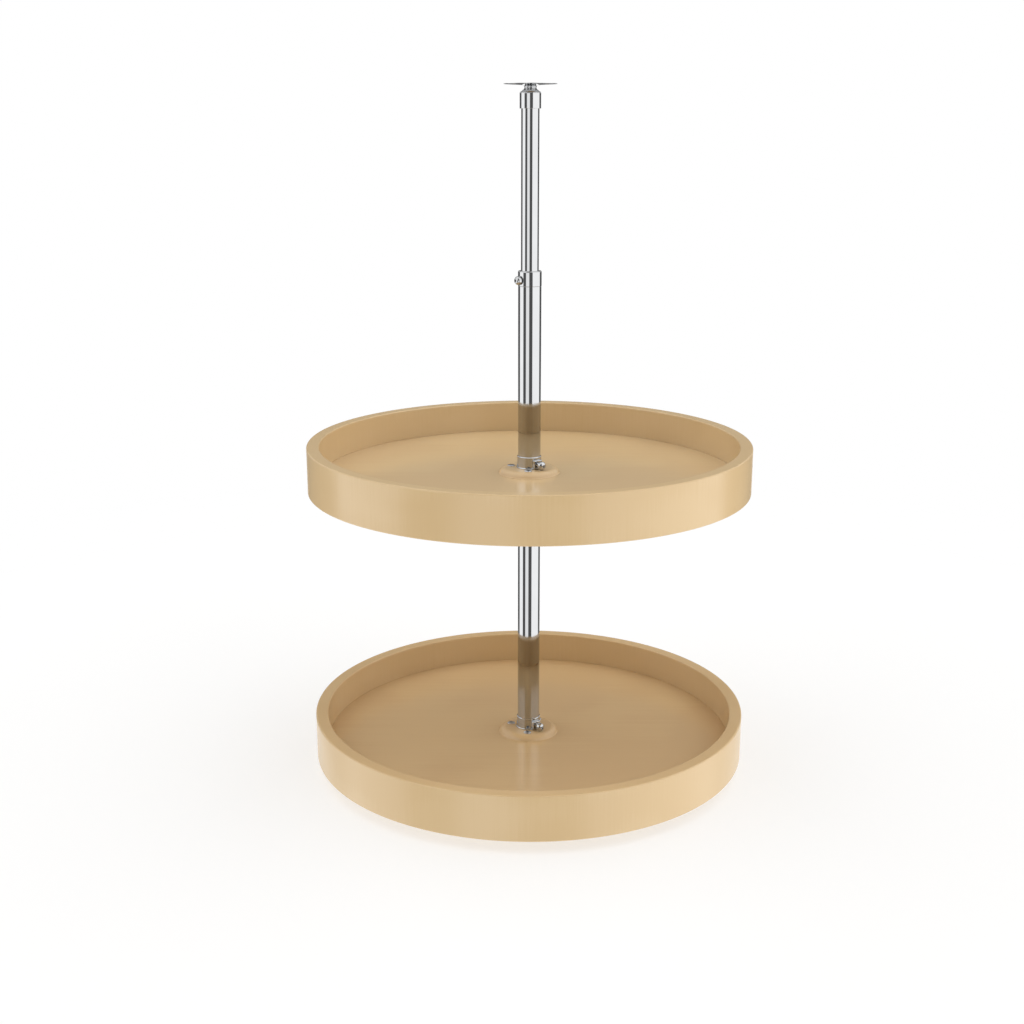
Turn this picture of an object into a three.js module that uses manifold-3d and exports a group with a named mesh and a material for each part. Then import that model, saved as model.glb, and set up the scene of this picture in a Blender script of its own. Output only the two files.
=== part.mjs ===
// Two-shelf corner carousel on a telescoping post.
//
// Millimetres, +Z up. The origin is on the post's axis, on the cabinet floor that the base plate
// stands on. Both shelves are clamped to the outer tube and turn with it between the base plate
// and the top flange, which are screwed to the cabinet.

import * as THREE from 'three';
import { mergeVertices } from 'three/addons/utils/BufferGeometryUtils.js';
import Module from 'manifold-3d';

const wasm = await Module();
wasm.setup();

// ---------------------------------------------------------------------------------------------
// Driving sizes
// ---------------------------------------------------------------------------------------------

// Clearances
const SEAT_GAP = 0.1; // between faces that rest on each other
const PRESS_GAP = 0.1; // on the radius, pieces fixed in each other
const RUNNING_GAP = 0.15; // on the radius, pieces that turn or slide in each other
const THREAD_GAP = 0.3; // on the radius, a screw in its hole
const TOP_RUNNING_GAP = 0.3; // between the top cap and the flange that it turns under

// Shelf: a bent-wood rim around a floor panel
const TRAY_RADIUS = 254;
const RIM_THICKNESS = 14.5;
const RIM_ABOVE_FLOOR = 37.2;
const FLOOR_THICKNESS = 12;
const FLOOR_RECESS = 3; // rim below the panel's underside
const RABBET_DEPTH = 6; // step in the rim that holds the panel's edge
const RIM_TOP_ROUND = 1.6;
const RIM_BOTTOM_ROUND = 1;
const SHELF_SPACING = 321.6;

// Hub of a shelf
const HUB_DISC_BASE_RADIUS = 36;
const HUB_DISC_TOP_RADIUS = 28;
const HUB_DISC_HEIGHT = 6.4;
const HUB_DISC_TOE = 1.4; // upright edge below the slope
const HUB_DISC_ROUND = 2.2;
const SLEEVE_WALL = 0.85;
const SLEEVE_RISE = 13.8; // above the hub disc
const SLEEVE_CHAMFER = 0.4;
const SLEEVE_FOOT_PROUD = 0.9; // flare that seats on the hub disc
const SLEEVE_FOOT_HEIGHT = 1.6;
const SCREW_BOSS_WIDTH = 11.2;
const SCREW_BOSS_HEIGHT = 10.4;
const SCREW_BOSS_PROUD = 3; // beyond the sleeve's outside
const SCREW_BOSS_CHAMFER = 0.7;
const UNDER_PLATE_THICKNESS = 2;
const UNDER_PLATE_LOBE_RADIUS = 8;

// Hub screws and nuts. The wider gap between two of the screws leaves room for the clamp screw.
const HUB_SCREW_CIRCLE_RADIUS = 22;
const HUB_SCREW_SPACING_DEG = 104;
const HUB_SCREW_MIDDLE_DEG = 163;
const HUB_SCREW_RADIUS = 2;
const HUB_SCREW_HEAD_RADIUS = 4.5;
const HUB_SCREW_HEAD_HEIGHT = 1.2;
const HUB_SCREW_BEYOND_NUT = 1;
const HUB_NUT_ACROSS_FLATS = 7;
const HUB_NUT_THICKNESS = 3.2;

// Lock screws with a domed head and a hexagon socket
const LOCK_SHANK_RADIUS = 2.5;
const LOCK_HEAD_RADIUS = 4.9;
const LOCK_HEAD_LENGTH = 5.8;
const LOCK_HEAD_BARREL = 2.2; // straight part of the head before its dome
const LOCK_SOCKET_ACROSS_FLATS = 3;
const LOCK_SOCKET_DEPTH = 2.6;
const LOCK_TIP_GAP = 0.2; // from the tube that the screw's tip bears on
const CLAMP_SCREW_NECK = 4.4; // between the sleeve's boss and the head
const CLAMP_SCREW_DEG = -52;
const CLAMP_SCREW_HEAD_GAP = 0.4; // between the head and the hub disc below it
const TELESCOPE_SCREW_NECK = 0.4;
const TELESCOPE_SCREW_DEG = -147;

// Telescoping post
const OUTER_TUBE_RADIUS = 13;
const OUTER_TUBE_WALL = 1.2;
const OUTER_TUBE_LENGTH = 555.4;
const INNER_TUBE_RADIUS = 9.9;
const INNER_TUBE_WALL = 1.2;
const INNER_TUBE_SHOWN = 173.6; // between the collar and the top cap
const INNER_TUBE_HELD = 145; // below the collar's top
const COLLAR_HEIGHT = 16.7;
const COLLAR_PROUD = 0.2;
const COLLAR_ROUND = 2;
const COLLAR_SPIGOT_LENGTH = 8;
const COLLAR_SCREW_BELOW_TOP = 10.3;
const GUIDE_BUSH_LENGTH = 22;
const INNER_GUIDE_FLANGE = 4;
const INNER_GUIDE_BODY = 16;
const INNER_GUIDE_BORE_RADIUS = 3;

// Top bearing and flange
const CAP_RADIUS = 11.6;
const CAP_BARREL_HEIGHT = 16.8;
const CAP_CONE_HEIGHT = 3.9;
const CAP_NECK_RADIUS = 6.6;
const CAP_NECK_HEIGHT = 1.1;
const CAP_WEB = 1.8; // below the cone, over the tube's end
const TOP_BUSH_FLANGE = 1.5;
const TOP_BUSH_LENGTH = 30;
const FLANGE_RADIUS = 29;
const FLANGE_THICKNESS = 1.2;
const FLANGE_FLARE_RADIUS = 12.5;
const FLANGE_FLARE_HEIGHT = 2.6;
const FLANGE_HOLE_CIRCLE_RADIUS = 21;
const TOP_PIN_LENGTH = 34;
const TOP_PIN_HEAD_RADIUS = 6;
const TOP_PIN_HEAD_HEIGHT = 1;

// Base plate and pivot
const PIVOT_RADIUS = 4;
const BASE_RADIUS = 32;
const BASE_THICKNESS = 3;
const BASE_EDGE_ROUND = 1;
const BASE_BOSS_RADIUS = 13;
const BASE_BOSS_SLOPE = 3;
const BASE_BOSS_HEIGHT = 2;
const BASE_HOLE_CIRCLE_RADIUS = 24;
const STUD_HEAD_RADIUS = 7;
const STUD_HEAD_HEIGHT = 2;
const STUD_ABOVE_BOSS = 27;
const STUD_CHAMFER = 0.8;
const WASHER_THICKNESS = 1.5;
const WASHER_RADIUS = 12.5;
const FOOT_FLANGE = 2.5;
const FOOT_BODY = 32;
const FOOT_BORE_SPARE = 1.5; // bore above the stud's end
const HARDWARE_ABOVE_BASE = 7.7; // from the base plate to the lower shelf's screw ends

// Countersunk holes of the base plate and the top flange
const MOUNT_HOLE_COUNT = 3;
const MOUNT_HOLE_FIRST_DEG = 90;
const MOUNT_HOLE_RADIUS = 2.2;
const COUNTERSINK_SLOPE = 1; // growth of the radius over the depth
const BASE_COUNTERSINK_DEPTH = 2.2;
const FLANGE_COUNTERSINK_DEPTH = 0.8;

// Facets around a full circle
const TRAY_FACETS = 60;
const POST_FACETS = 32;
const SMALL_FACETS = 16;

// Divisions of a profile's curves: a quarter circle has twice as many steps
const EASED_EDGE_STEPS = 1;
const CURVE_STEPS = 2;

// ---------------------------------------------------------------------------------------------
// Sizes and heights that follow
// ---------------------------------------------------------------------------------------------

// Within a shelf, from the bottom of its rim
const floorTop = FLOOR_RECESS + FLOOR_THICKNESS;
const rimHeight = floorTop + RIM_ABOVE_FLOOR;
const rimInnerRadius = TRAY_RADIUS - RIM_THICKNESS;
const rabbetRadius = rimInnerRadius + RABBET_DEPTH;
const hubDiscBottom = floorTop + SEAT_GAP;
const hubDiscTop = hubDiscBottom + HUB_DISC_HEIGHT;
const sleeveTop = hubDiscTop + SLEEVE_RISE;
const sleeveBore = OUTER_TUBE_RADIUS + RUNNING_GAP;
const sleeveRadius = sleeveBore + SLEEVE_WALL;
const hubBore = sleeveRadius + PRESS_GAP;
const underPlateTop = FLOOR_RECESS - SEAT_GAP;
const underPlateBottom = underPlateTop - UNDER_PLATE_THICKNESS;
const hubNutTop = underPlateBottom - SEAT_GAP;
const hubNutBottom = hubNutTop - HUB_NUT_THICKNESS;
const hubScrewEnd = hubNutBottom - HUB_SCREW_BEYOND_NUT;
const clampScrewHeight = hubDiscTop + CLAMP_SCREW_HEAD_GAP + LOCK_HEAD_RADIUS;
const screwBossFace = sleeveRadius + SCREW_BOSS_PROUD;

// Up the post, from the cabinet floor
const baseBossTop = BASE_THICKNESS + BASE_BOSS_HEIGHT;
const washerBottom = baseBossTop + SEAT_GAP;
const footBottom = washerBottom + WASHER_THICKNESS + SEAT_GAP;
const outerTubeBottom = footBottom + FOOT_FLANGE + SEAT_GAP;
const outerTubeTop = outerTubeBottom + OUTER_TUBE_LENGTH;
const outerTubeBore = OUTER_TUBE_RADIUS - OUTER_TUBE_WALL;
const collarBottom = outerTubeTop + SEAT_GAP;
const collarTop = collarBottom + COLLAR_HEIGHT;
const collarRadius = OUTER_TUBE_RADIUS + COLLAR_PROUD;
const collarBore = INNER_TUBE_RADIUS + RUNNING_GAP;
const collarSpigotBottom = collarBottom - COLLAR_SPIGOT_LENGTH;
const guideBushTop = collarSpigotBottom - SEAT_GAP;
const innerTubeBore = INNER_TUBE_RADIUS - INNER_TUBE_WALL;
const innerTubeBottom = collarTop - INNER_TUBE_HELD;
const capBottom = collarTop + INNER_TUBE_SHOWN;
const capBarrelTop = capBottom + CAP_BARREL_HEIGHT;
const capConeTop = capBarrelTop + CAP_CONE_HEIGHT;
const capTop = capConeTop + CAP_NECK_HEIGHT;
const capWebBottom = capBarrelTop - CAP_WEB;
const innerTubeTop = capWebBottom - TOP_BUSH_FLANGE - 2 * SEAT_GAP;
const flareBottom = capTop + TOP_RUNNING_GAP;
const flangeBottom = flareBottom + FLANGE_FLARE_HEIGHT;
const flangeTop = flangeBottom + FLANGE_THICKNESS;
const pinTop = flangeTop - SEAT_GAP;
const pivotBore = PIVOT_RADIUS + RUNNING_GAP;
const pivotSeat = PIVOT_RADIUS + PRESS_GAP;

const lowerShelfHeight = BASE_THICKNESS + HARDWARE_ABOVE_BASE - hubScrewEnd;
const upperShelfHeight = lowerShelfHeight + SHELF_SPACING;

const hubScrewAngles = [-1, 0, 1].map(
  (step) => HUB_SCREW_MIDDLE_DEG + step * HUB_SCREW_SPACING_DEG,
);
const mountHoleAngles = Array.from(
  { length: MOUNT_HOLE_COUNT },
  (_, index) => MOUNT_HOLE_FIRST_DEG + (index * 360) / MOUNT_HOLE_COUNT,
);

// ---------------------------------------------------------------------------------------------
// Finishes
// ---------------------------------------------------------------------------------------------

const wood = () => new THREE.MeshStandardMaterial({ color: '#d2b184', roughness: 0.45 });
const panelWood = () => new THREE.MeshStandardMaterial({ color: '#c6a577', roughness: 0.4 });
const chrome = () =>
  new THREE.MeshStandardMaterial({ color: '#e6e8ea', roughness: 0.08, metalness: 1 });
const zincSteel = () =>
  new THREE.MeshStandardMaterial({ color: '#b9bcc0', roughness: 0.35, metalness: 1 });
const whiteNylon = () => new THREE.MeshStandardMaterial({ color: '#e9e7e0', roughness: 0.5 });

// ---------------------------------------------------------------------------------------------
// Shape helpers
// ---------------------------------------------------------------------------------------------

// A closed mesh as a solid that can be joined and cut.
function toSolid(geometry) {
  const bare = new THREE.BufferGeometry();
  bare.setAttribute('position', geometry.getAttribute('position').clone());
  bare.setIndex(geometry.getIndex());
  const merged = mergeVertices(bare, 1e-4);
  const index = merged.getIndex().array;
  const triangles = [];
  for (let i = 0; i < index.length; i += 3) {
    const [a, b, c] = index.slice(i, i + 3);
    if (a !== b && b !== c && c !== a) {
      triangles.push(a, b, c);
    }
  }
  const mesh = new wasm.Mesh({
    numProp: 3,
    vertProperties: new Float32Array(merged.getAttribute('position').array),
    triVerts: new Uint32Array(triangles),
  });
  return new wasm.Manifold(mesh);
}

function toGeometry(solid) {
  const { vertProperties, triVerts } = solid.getMesh();
  const geometry = new THREE.BufferGeometry();
  geometry.setAttribute('position', new THREE.BufferAttribute(vertProperties, 3));
  geometry.setIndex(new THREE.BufferAttribute(triVerts, 1));
  geometry.computeVertexNormals();
  return geometry;
}

// A profile in radius and height, drawn anticlockwise, turned about the Z axis.
function revolve(facets, draw, steps = CURVE_STEPS) {
  const path = new THREE.Path();
  draw(path);
  if (path.currentPoint.x > 0) {
    path.closePath();
  }
  const geometry = new THREE.LatheGeometry(path.getPoints(steps), facets);
  return toSolid(geometry.rotateX(Math.PI / 2));
}

// A ring with a square section.
function ring(facets, inner, outer, bottom, top) {
  return revolve(facets, (path) => {
    path.moveTo(inner, bottom);
    path.lineTo(outer, bottom);
    path.lineTo(outer, top);
    path.lineTo(inner, top);
  });
}

// A plain round bar, which also serves to cut holes.
function bar(facets, radius, bottom, top) {
  return revolve(facets, (path) => {
    path.moveTo(0, bottom);
    path.lineTo(radius, bottom);
    path.lineTo(radius, top);
    path.lineTo(0, top);
  });
}

function prism(shape, bottom, top) {
  const geometry = new THREE.ExtrudeGeometry(shape, {
    depth: top - bottom,
    bevelEnabled: false,
    curveSegments: 2 * CURVE_STEPS,
  });
  return toSolid(geometry.translate(0, 0, bottom));
}

function hexagon(acrossFlats) {
  const cornerRadius = acrossFlats / Math.sqrt(3);
  const corners = Array.from({ length: 6 }, (_, index) => {
    const angle = (index * Math.PI) / 3;
    return new THREE.Vector2(cornerRadius * Math.cos(angle), cornerRadius * Math.sin(angle));
  });
  return new THREE.Shape(corners);
}

function onCircle(radius, degrees) {
  const angle = THREE.MathUtils.degToRad(degrees);
  return [radius * Math.cos(angle), radius * Math.sin(angle)];
}

// One copy of a tool at each angle of a circle, cut out of the solid.
function cutOnCircle(solid, tool, radius, angles) {
  return angles.reduce(
    (left, degrees) => left.subtract(tool.translate([...onCircle(radius, degrees), 0])),
    solid,
  );
}

// What stands along +Z, laid along +X.
function layRadially(solid) {
  return solid.rotate([0, 90, 0]);
}

function piece(name, solid, material) {
  const mesh = new THREE.Mesh(toGeometry(solid), material);
  mesh.name = name;
  return mesh;
}

// ---------------------------------------------------------------------------------------------
// Base plate and pivot
// ---------------------------------------------------------------------------------------------

// A screw hole, with its countersink opening at the given face.
function countersunkHole(bottom, top, depth, opensUp) {
  const wide = MOUNT_HOLE_RADIUS + depth * COUNTERSINK_SLOPE;
  const over = 1;
  return revolve(SMALL_FACETS, (path) => {
    if (opensUp) {
      path.moveTo(0, bottom - over);
      path.lineTo(MOUNT_HOLE_RADIUS, bottom - over);
      path.lineTo(MOUNT_HOLE_RADIUS, top - depth);
      path.lineTo(wide, top);
      path.lineTo(wide, top + over);
      path.lineTo(0, top + over);
    } else {
      path.moveTo(0, bottom - over);
      path.lineTo(wide, bottom - over);
      path.lineTo(wide, bottom);
      path.lineTo(MOUNT_HOLE_RADIUS, bottom + depth);
      path.lineTo(MOUNT_HOLE_RADIUS, top + over);
      path.lineTo(0, top + over);
    }
  });
}

// A pressed disc with a raised middle, recessed below for the stud's head.
function basePlate() {
  const recessRadius = STUD_HEAD_RADIUS + PRESS_GAP;
  const recessTop = STUD_HEAD_HEIGHT + 2 * SEAT_GAP;
  const draw = (path) => {
    path.moveTo(recessRadius, 0);
    path.lineTo(BASE_RADIUS, 0);
    path.absarc(
      BASE_RADIUS - BASE_EDGE_ROUND,
      BASE_THICKNESS - BASE_EDGE_ROUND,
      BASE_EDGE_ROUND,
      0,
      Math.PI / 2,
    );
    path.lineTo(BASE_BOSS_RADIUS + BASE_BOSS_SLOPE, BASE_THICKNESS);
    path.lineTo(BASE_BOSS_RADIUS, baseBossTop);
    path.lineTo(pivotSeat, baseBossTop);
    path.lineTo(pivotSeat, recessTop);
    path.lineTo(recessRadius, recessTop);
  };
  const disc = revolve(POST_FACETS, draw, EASED_EDGE_STEPS);
  const hole = countersunkHole(0, BASE_THICKNESS, BASE_COUNTERSINK_DEPTH, true);
  return cutOnCircle(disc, hole, BASE_HOLE_CIRCLE_RADIUS, mountHoleAngles);
}

function pivotStud() {
  const headBottom = SEAT_GAP;
  const headTop = headBottom + STUD_HEAD_HEIGHT;
  const top = baseBossTop + STUD_ABOVE_BOSS;
  return revolve(SMALL_FACETS, (path) => {
    path.moveTo(0, headBottom);
    path.lineTo(STUD_HEAD_RADIUS, headBottom);
    path.lineTo(STUD_HEAD_RADIUS, headTop);
    path.lineTo(PIVOT_RADIUS, headTop);
    path.lineTo(PIVOT_RADIUS, top - STUD_CHAMFER);
    path.lineTo(PIVOT_RADIUS - STUD_CHAMFER, top);
    path.lineTo(0, top);
  });
}

// The plug that closes the outer tube and turns on the stud.
function footPlug() {
  const boreTop = baseBossTop + STUD_ABOVE_BOSS + FOOT_BORE_SPARE;
  const flangeTopHeight = footBottom + FOOT_FLANGE;
  const bodyRadius = outerTubeBore - PRESS_GAP;
  return revolve(POST_FACETS, (path) => {
    path.moveTo(0, boreTop);
    path.lineTo(pivotBore, boreTop);
    path.lineTo(pivotBore, footBottom);
    path.lineTo(OUTER_TUBE_RADIUS, footBottom);
    path.lineTo(OUTER_TUBE_RADIUS, flangeTopHeight);
    path.lineTo(bodyRadius, flangeTopHeight);
    path.lineTo(bodyRadius, flangeTopHeight + FOOT_BODY);
    path.lineTo(0, flangeTopHeight + FOOT_BODY);
  });
}

function basePieces() {
  const washer = ring(
    POST_FACETS,
    pivotBore,
    WASHER_RADIUS,
    washerBottom,
    washerBottom + WASHER_THICKNESS,
  );
  return [
    piece('base_plate', basePlate(), zincSteel()),
    piece('pivot_stud', pivotStud(), zincSteel()),
    piece('thrust_washer', washer, whiteNylon()),
  ];
}

// ---------------------------------------------------------------------------------------------
// Lock screws
// ---------------------------------------------------------------------------------------------

// A screw along +Z from its tip to the top of its domed head.
function lockScrew(shankLength) {
  const barrelTop = shankLength + LOCK_HEAD_BARREL;
  const domeTop = shankLength + LOCK_HEAD_LENGTH;
  const domeHeight = domeTop - barrelTop;
  const body = revolve(SMALL_FACETS, (path) => {
    path.moveTo(0, 0);
    path.lineTo(LOCK_SHANK_RADIUS, 0);
    path.lineTo(LOCK_SHANK_RADIUS, shankLength);
    path.lineTo(LOCK_HEAD_RADIUS, shankLength);
    path.lineTo(LOCK_HEAD_RADIUS, barrelTop);
    path.absellipse(0, barrelTop, LOCK_HEAD_RADIUS, domeHeight, 0, Math.PI / 2);
    path.lineTo(0, domeTop);
  });
  const over = 1;
  const socket = prism(
    hexagon(LOCK_SOCKET_ACROSS_FLATS),
    domeTop - LOCK_SOCKET_DEPTH,
    domeTop + over,
  );
  return body.subtract(socket);
}

// A lock screw that points at the axis, with its tip just off the tube that it bears on.
function radialLockScrew(name, tubeRadius, headSeatRadius, height, degrees) {
  const tipRadius = tubeRadius + LOCK_TIP_GAP;
  const solid = layRadially(lockScrew(headSeatRadius - tipRadius)).translate([tipRadius, 0, 0]);
  const mesh = piece(name, solid, chrome());
  mesh.position.z = height;
  mesh.rotation.z = THREE.MathUtils.degToRad(degrees);
  return mesh;
}

// The hole for such a screw, from inside the bore to beyond the outside.
function radialScrewHole(outerRadius, height, degrees) {
  const hole = bar(SMALL_FACETS, LOCK_SHANK_RADIUS + THREAD_GAP, 0, outerRadius * 2);
  return layRadially(hole).rotate([0, 0, degrees]).translate([0, 0, height]);
}

// ---------------------------------------------------------------------------------------------
// Telescoping post
// ---------------------------------------------------------------------------------------------

// The collar closes the outer tube's end, guides the inner tube and carries the lock screw.
function collar() {
  const spigotRadius = outerTubeBore - PRESS_GAP;
  const draw = (path) => {
    path.moveTo(collarBore, collarSpigotBottom);
    path.lineTo(spigotRadius, collarSpigotBottom);
    path.lineTo(spigotRadius, collarBottom);
    path.lineTo(collarRadius, collarBottom);
    path.absarc(
      collarRadius - COLLAR_ROUND,
      collarTop - COLLAR_ROUND,
      COLLAR_ROUND,
      0,
      Math.PI / 2,
    );
    path.lineTo(collarBore, collarTop);
  };
  const body = revolve(POST_FACETS, draw, EASED_EDGE_STEPS);
  const hole = radialScrewHole(
    collarRadius,
    collarTop - COLLAR_SCREW_BELOW_TOP,
    TELESCOPE_SCREW_DEG,
  );
  return body.subtract(hole);
}

// The plug in the inner tube's lower end, whose flange runs in the outer tube.
function innerGuide() {
  const flangeRadius = outerTubeBore - RUNNING_GAP;
  const bodyRadius = innerTubeBore - PRESS_GAP;
  const flangeTopHeight = innerTubeBottom - SEAT_GAP;
  return revolve(POST_FACETS, (path) => {
    path.moveTo(INNER_GUIDE_BORE_RADIUS, flangeTopHeight - INNER_GUIDE_FLANGE);
    path.lineTo(flangeRadius, flangeTopHeight - INNER_GUIDE_FLANGE);
    path.lineTo(flangeRadius, flangeTopHeight);
    path.lineTo(bodyRadius, flangeTopHeight);
    path.lineTo(bodyRadius, flangeTopHeight + INNER_GUIDE_BODY);
    path.lineTo(INNER_GUIDE_BORE_RADIUS, flangeTopHeight + INNER_GUIDE_BODY);
  });
}

// The cap over the inner tube's end, coned in to the neck that the flange turns on.
function topCap() {
  const tubeSeat = INNER_TUBE_RADIUS + PRESS_GAP;
  const pinHole = pivotBore + PRESS_GAP;
  return revolve(POST_FACETS, (path) => {
    path.moveTo(tubeSeat, capBottom);
    path.lineTo(CAP_RADIUS, capBottom);
    path.lineTo(CAP_RADIUS, capBarrelTop);
    path.lineTo(CAP_NECK_RADIUS, capConeTop);
    path.lineTo(CAP_NECK_RADIUS, capTop);
    path.lineTo(pinHole, capTop);
    path.lineTo(pinHole, capWebBottom);
    path.lineTo(tubeSeat, capWebBottom);
  });
}

// The flanged bush that hangs in the inner tube's end and holds the pin.
function topBush() {
  const bodyRadius = innerTubeBore - PRESS_GAP;
  const flangeUnderside = innerTubeTop + SEAT_GAP;
  return revolve(POST_FACETS, (path) => {
    path.moveTo(pivotBore, flangeUnderside - TOP_BUSH_LENGTH);
    path.lineTo(bodyRadius, flangeUnderside - TOP_BUSH_LENGTH);
    path.lineTo(bodyRadius, flangeUnderside);
    path.lineTo(INNER_TUBE_RADIUS, flangeUnderside);
    path.lineTo(INNER_TUBE_RADIUS, flangeUnderside + TOP_BUSH_FLANGE);
    path.lineTo(pivotBore, flangeUnderside + TOP_BUSH_FLANGE);
  });
}

function postPieces() {
  const outerTube = ring(
    POST_FACETS,
    outerTubeBore,
    OUTER_TUBE_RADIUS,
    outerTubeBottom,
    outerTubeTop,
  );
  const guideBush = ring(
    POST_FACETS,
    collarBore,
    outerTubeBore - PRESS_GAP,
    guideBushTop - GUIDE_BUSH_LENGTH,
    guideBushTop,
  );
  const innerTube = ring(
    POST_FACETS,
    innerTubeBore,
    INNER_TUBE_RADIUS,
    innerTubeBottom,
    innerTubeTop,
  );
  return [
    piece('foot_plug', footPlug(), whiteNylon()),
    piece('outer_tube', outerTube, chrome()),
    piece('collar', collar(), chrome()),
    piece('guide_bush', guideBush, whiteNylon()),
    radialLockScrew(
      'telescope_lock_screw',
      INNER_TUBE_RADIUS,
      collarRadius + TELESCOPE_SCREW_NECK,
      collarTop - COLLAR_SCREW_BELOW_TOP,
      TELESCOPE_SCREW_DEG,
    ),
    piece('inner_tube', innerTube, chrome()),
    piece('inner_guide', innerGuide(), whiteNylon()),
    piece('top_cap', topCap(), chrome()),
    piece('top_bush', topBush(), whiteNylon()),
  ];
}

// ---------------------------------------------------------------------------------------------
// Top flange
// ---------------------------------------------------------------------------------------------

// A thin disc drawn down in a flare to the width of the cap's neck.
function topFlange() {
  const recessRadius = TOP_PIN_HEAD_RADIUS + PRESS_GAP;
  const recessBottom = pinTop - TOP_PIN_HEAD_HEIGHT - SEAT_GAP;
  const disc = revolve(POST_FACETS, (path) => {
    path.moveTo(pivotSeat, flareBottom);
    path.lineTo(CAP_NECK_RADIUS, flareBottom);
    path.quadraticCurveTo(CAP_NECK_RADIUS, flangeBottom, FLANGE_FLARE_RADIUS, flangeBottom);
    path.lineTo(FLANGE_RADIUS, flangeBottom);
    path.lineTo(FLANGE_RADIUS, flangeTop);
    path.lineTo(recessRadius, flangeTop);
    path.lineTo(recessRadius, recessBottom);
    path.lineTo(pivotSeat, recessBottom);
  });
  const hole = countersunkHole(flangeBottom, flangeTop, FLANGE_COUNTERSINK_DEPTH, false);
  return cutOnCircle(disc, hole, FLANGE_HOLE_CIRCLE_RADIUS, mountHoleAngles);
}

function topPin() {
  const headBottom = pinTop - TOP_PIN_HEAD_HEIGHT;
  return revolve(SMALL_FACETS, (path) => {
    path.moveTo(0, headBottom - TOP_PIN_LENGTH);
    path.lineTo(PIVOT_RADIUS - STUD_CHAMFER, headBottom - TOP_PIN_LENGTH);
    path.lineTo(PIVOT_RADIUS, headBottom - TOP_PIN_LENGTH + STUD_CHAMFER);
    path.lineTo(PIVOT_RADIUS, headBottom);
    path.lineTo(TOP_PIN_HEAD_RADIUS, headBottom);
    path.lineTo(TOP_PIN_HEAD_RADIUS, pinTop);
    path.lineTo(0, pinTop);
  });
}

function topPieces() {
  return [
    piece('top_flange', topFlange(), chrome()),
    piece('top_pin', topPin(), zincSteel()),
  ];
}

// ---------------------------------------------------------------------------------------------
// Shelf
// ---------------------------------------------------------------------------------------------

// The rim, with eased edges and a step inside that the floor panel is glued up against.
function rim() {
  const stepHeight = floorTop + SEAT_GAP;
  const topRound = rimHeight - RIM_TOP_ROUND;
  const draw = (path) => {
    path.moveTo(rabbetRadius, 0);
    path.absarc(
      TRAY_RADIUS - RIM_BOTTOM_ROUND,
      RIM_BOTTOM_ROUND,
      RIM_BOTTOM_ROUND,
      -Math.PI / 2,
      0,
    );
    path.absarc(TRAY_RADIUS - RIM_TOP_ROUND, topRound, RIM_TOP_ROUND, 0, Math.PI / 2);
    path.absarc(rimInnerRadius + RIM_TOP_ROUND, topRound, RIM_TOP_ROUND, Math.PI / 2, Math.PI);
    path.lineTo(rimInnerRadius, stepHeight);
    path.lineTo(rabbetRadius, stepHeight);
  };
  return revolve(TRAY_FACETS, draw, EASED_EDGE_STEPS);
}

function floorPanel() {
  const panel = ring(TRAY_FACETS, hubBore, rabbetRadius - PRESS_GAP, FLOOR_RECESS, floorTop);
  return drillHubHoles(panel);
}

// The raised disc that spreads the hub screws' load over the panel.
function hubDisc() {
  const sideRun = HUB_DISC_BASE_RADIUS - HUB_DISC_TOP_RADIUS;
  const sideRise = HUB_DISC_HEIGHT - HUB_DISC_TOE;
  const sideLength = Math.hypot(sideRun, sideRise);
  const roundStart = new THREE.Vector2(
    HUB_DISC_TOP_RADIUS + (sideRun * HUB_DISC_ROUND) / sideLength,
    hubDiscTop - (sideRise * HUB_DISC_ROUND) / sideLength,
  );
  const disc = revolve(POST_FACETS, (path) => {
    path.moveTo(hubBore, hubDiscBottom);
    path.lineTo(HUB_DISC_BASE_RADIUS, hubDiscBottom);
    path.lineTo(HUB_DISC_BASE_RADIUS, hubDiscBottom + HUB_DISC_TOE);
    path.lineTo(roundStart.x, roundStart.y);
    path.quadraticCurveTo(
      HUB_DISC_TOP_RADIUS,
      hubDiscTop,
      HUB_DISC_TOP_RADIUS - HUB_DISC_ROUND,
      hubDiscTop,
    );
    path.lineTo(hubBore, hubDiscTop);
  });
  return drillHubHoles(disc);
}

// The three screw holes through whatever the hub screws hold together.
function drillHubHoles(solid) {
  const drill = bar(SMALL_FACETS, HUB_SCREW_RADIUS + THREAD_GAP, hubScrewEnd, sleeveTop);
  return cutOnCircle(solid, drill, HUB_SCREW_CIRCLE_RADIUS, hubScrewAngles);
}

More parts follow.
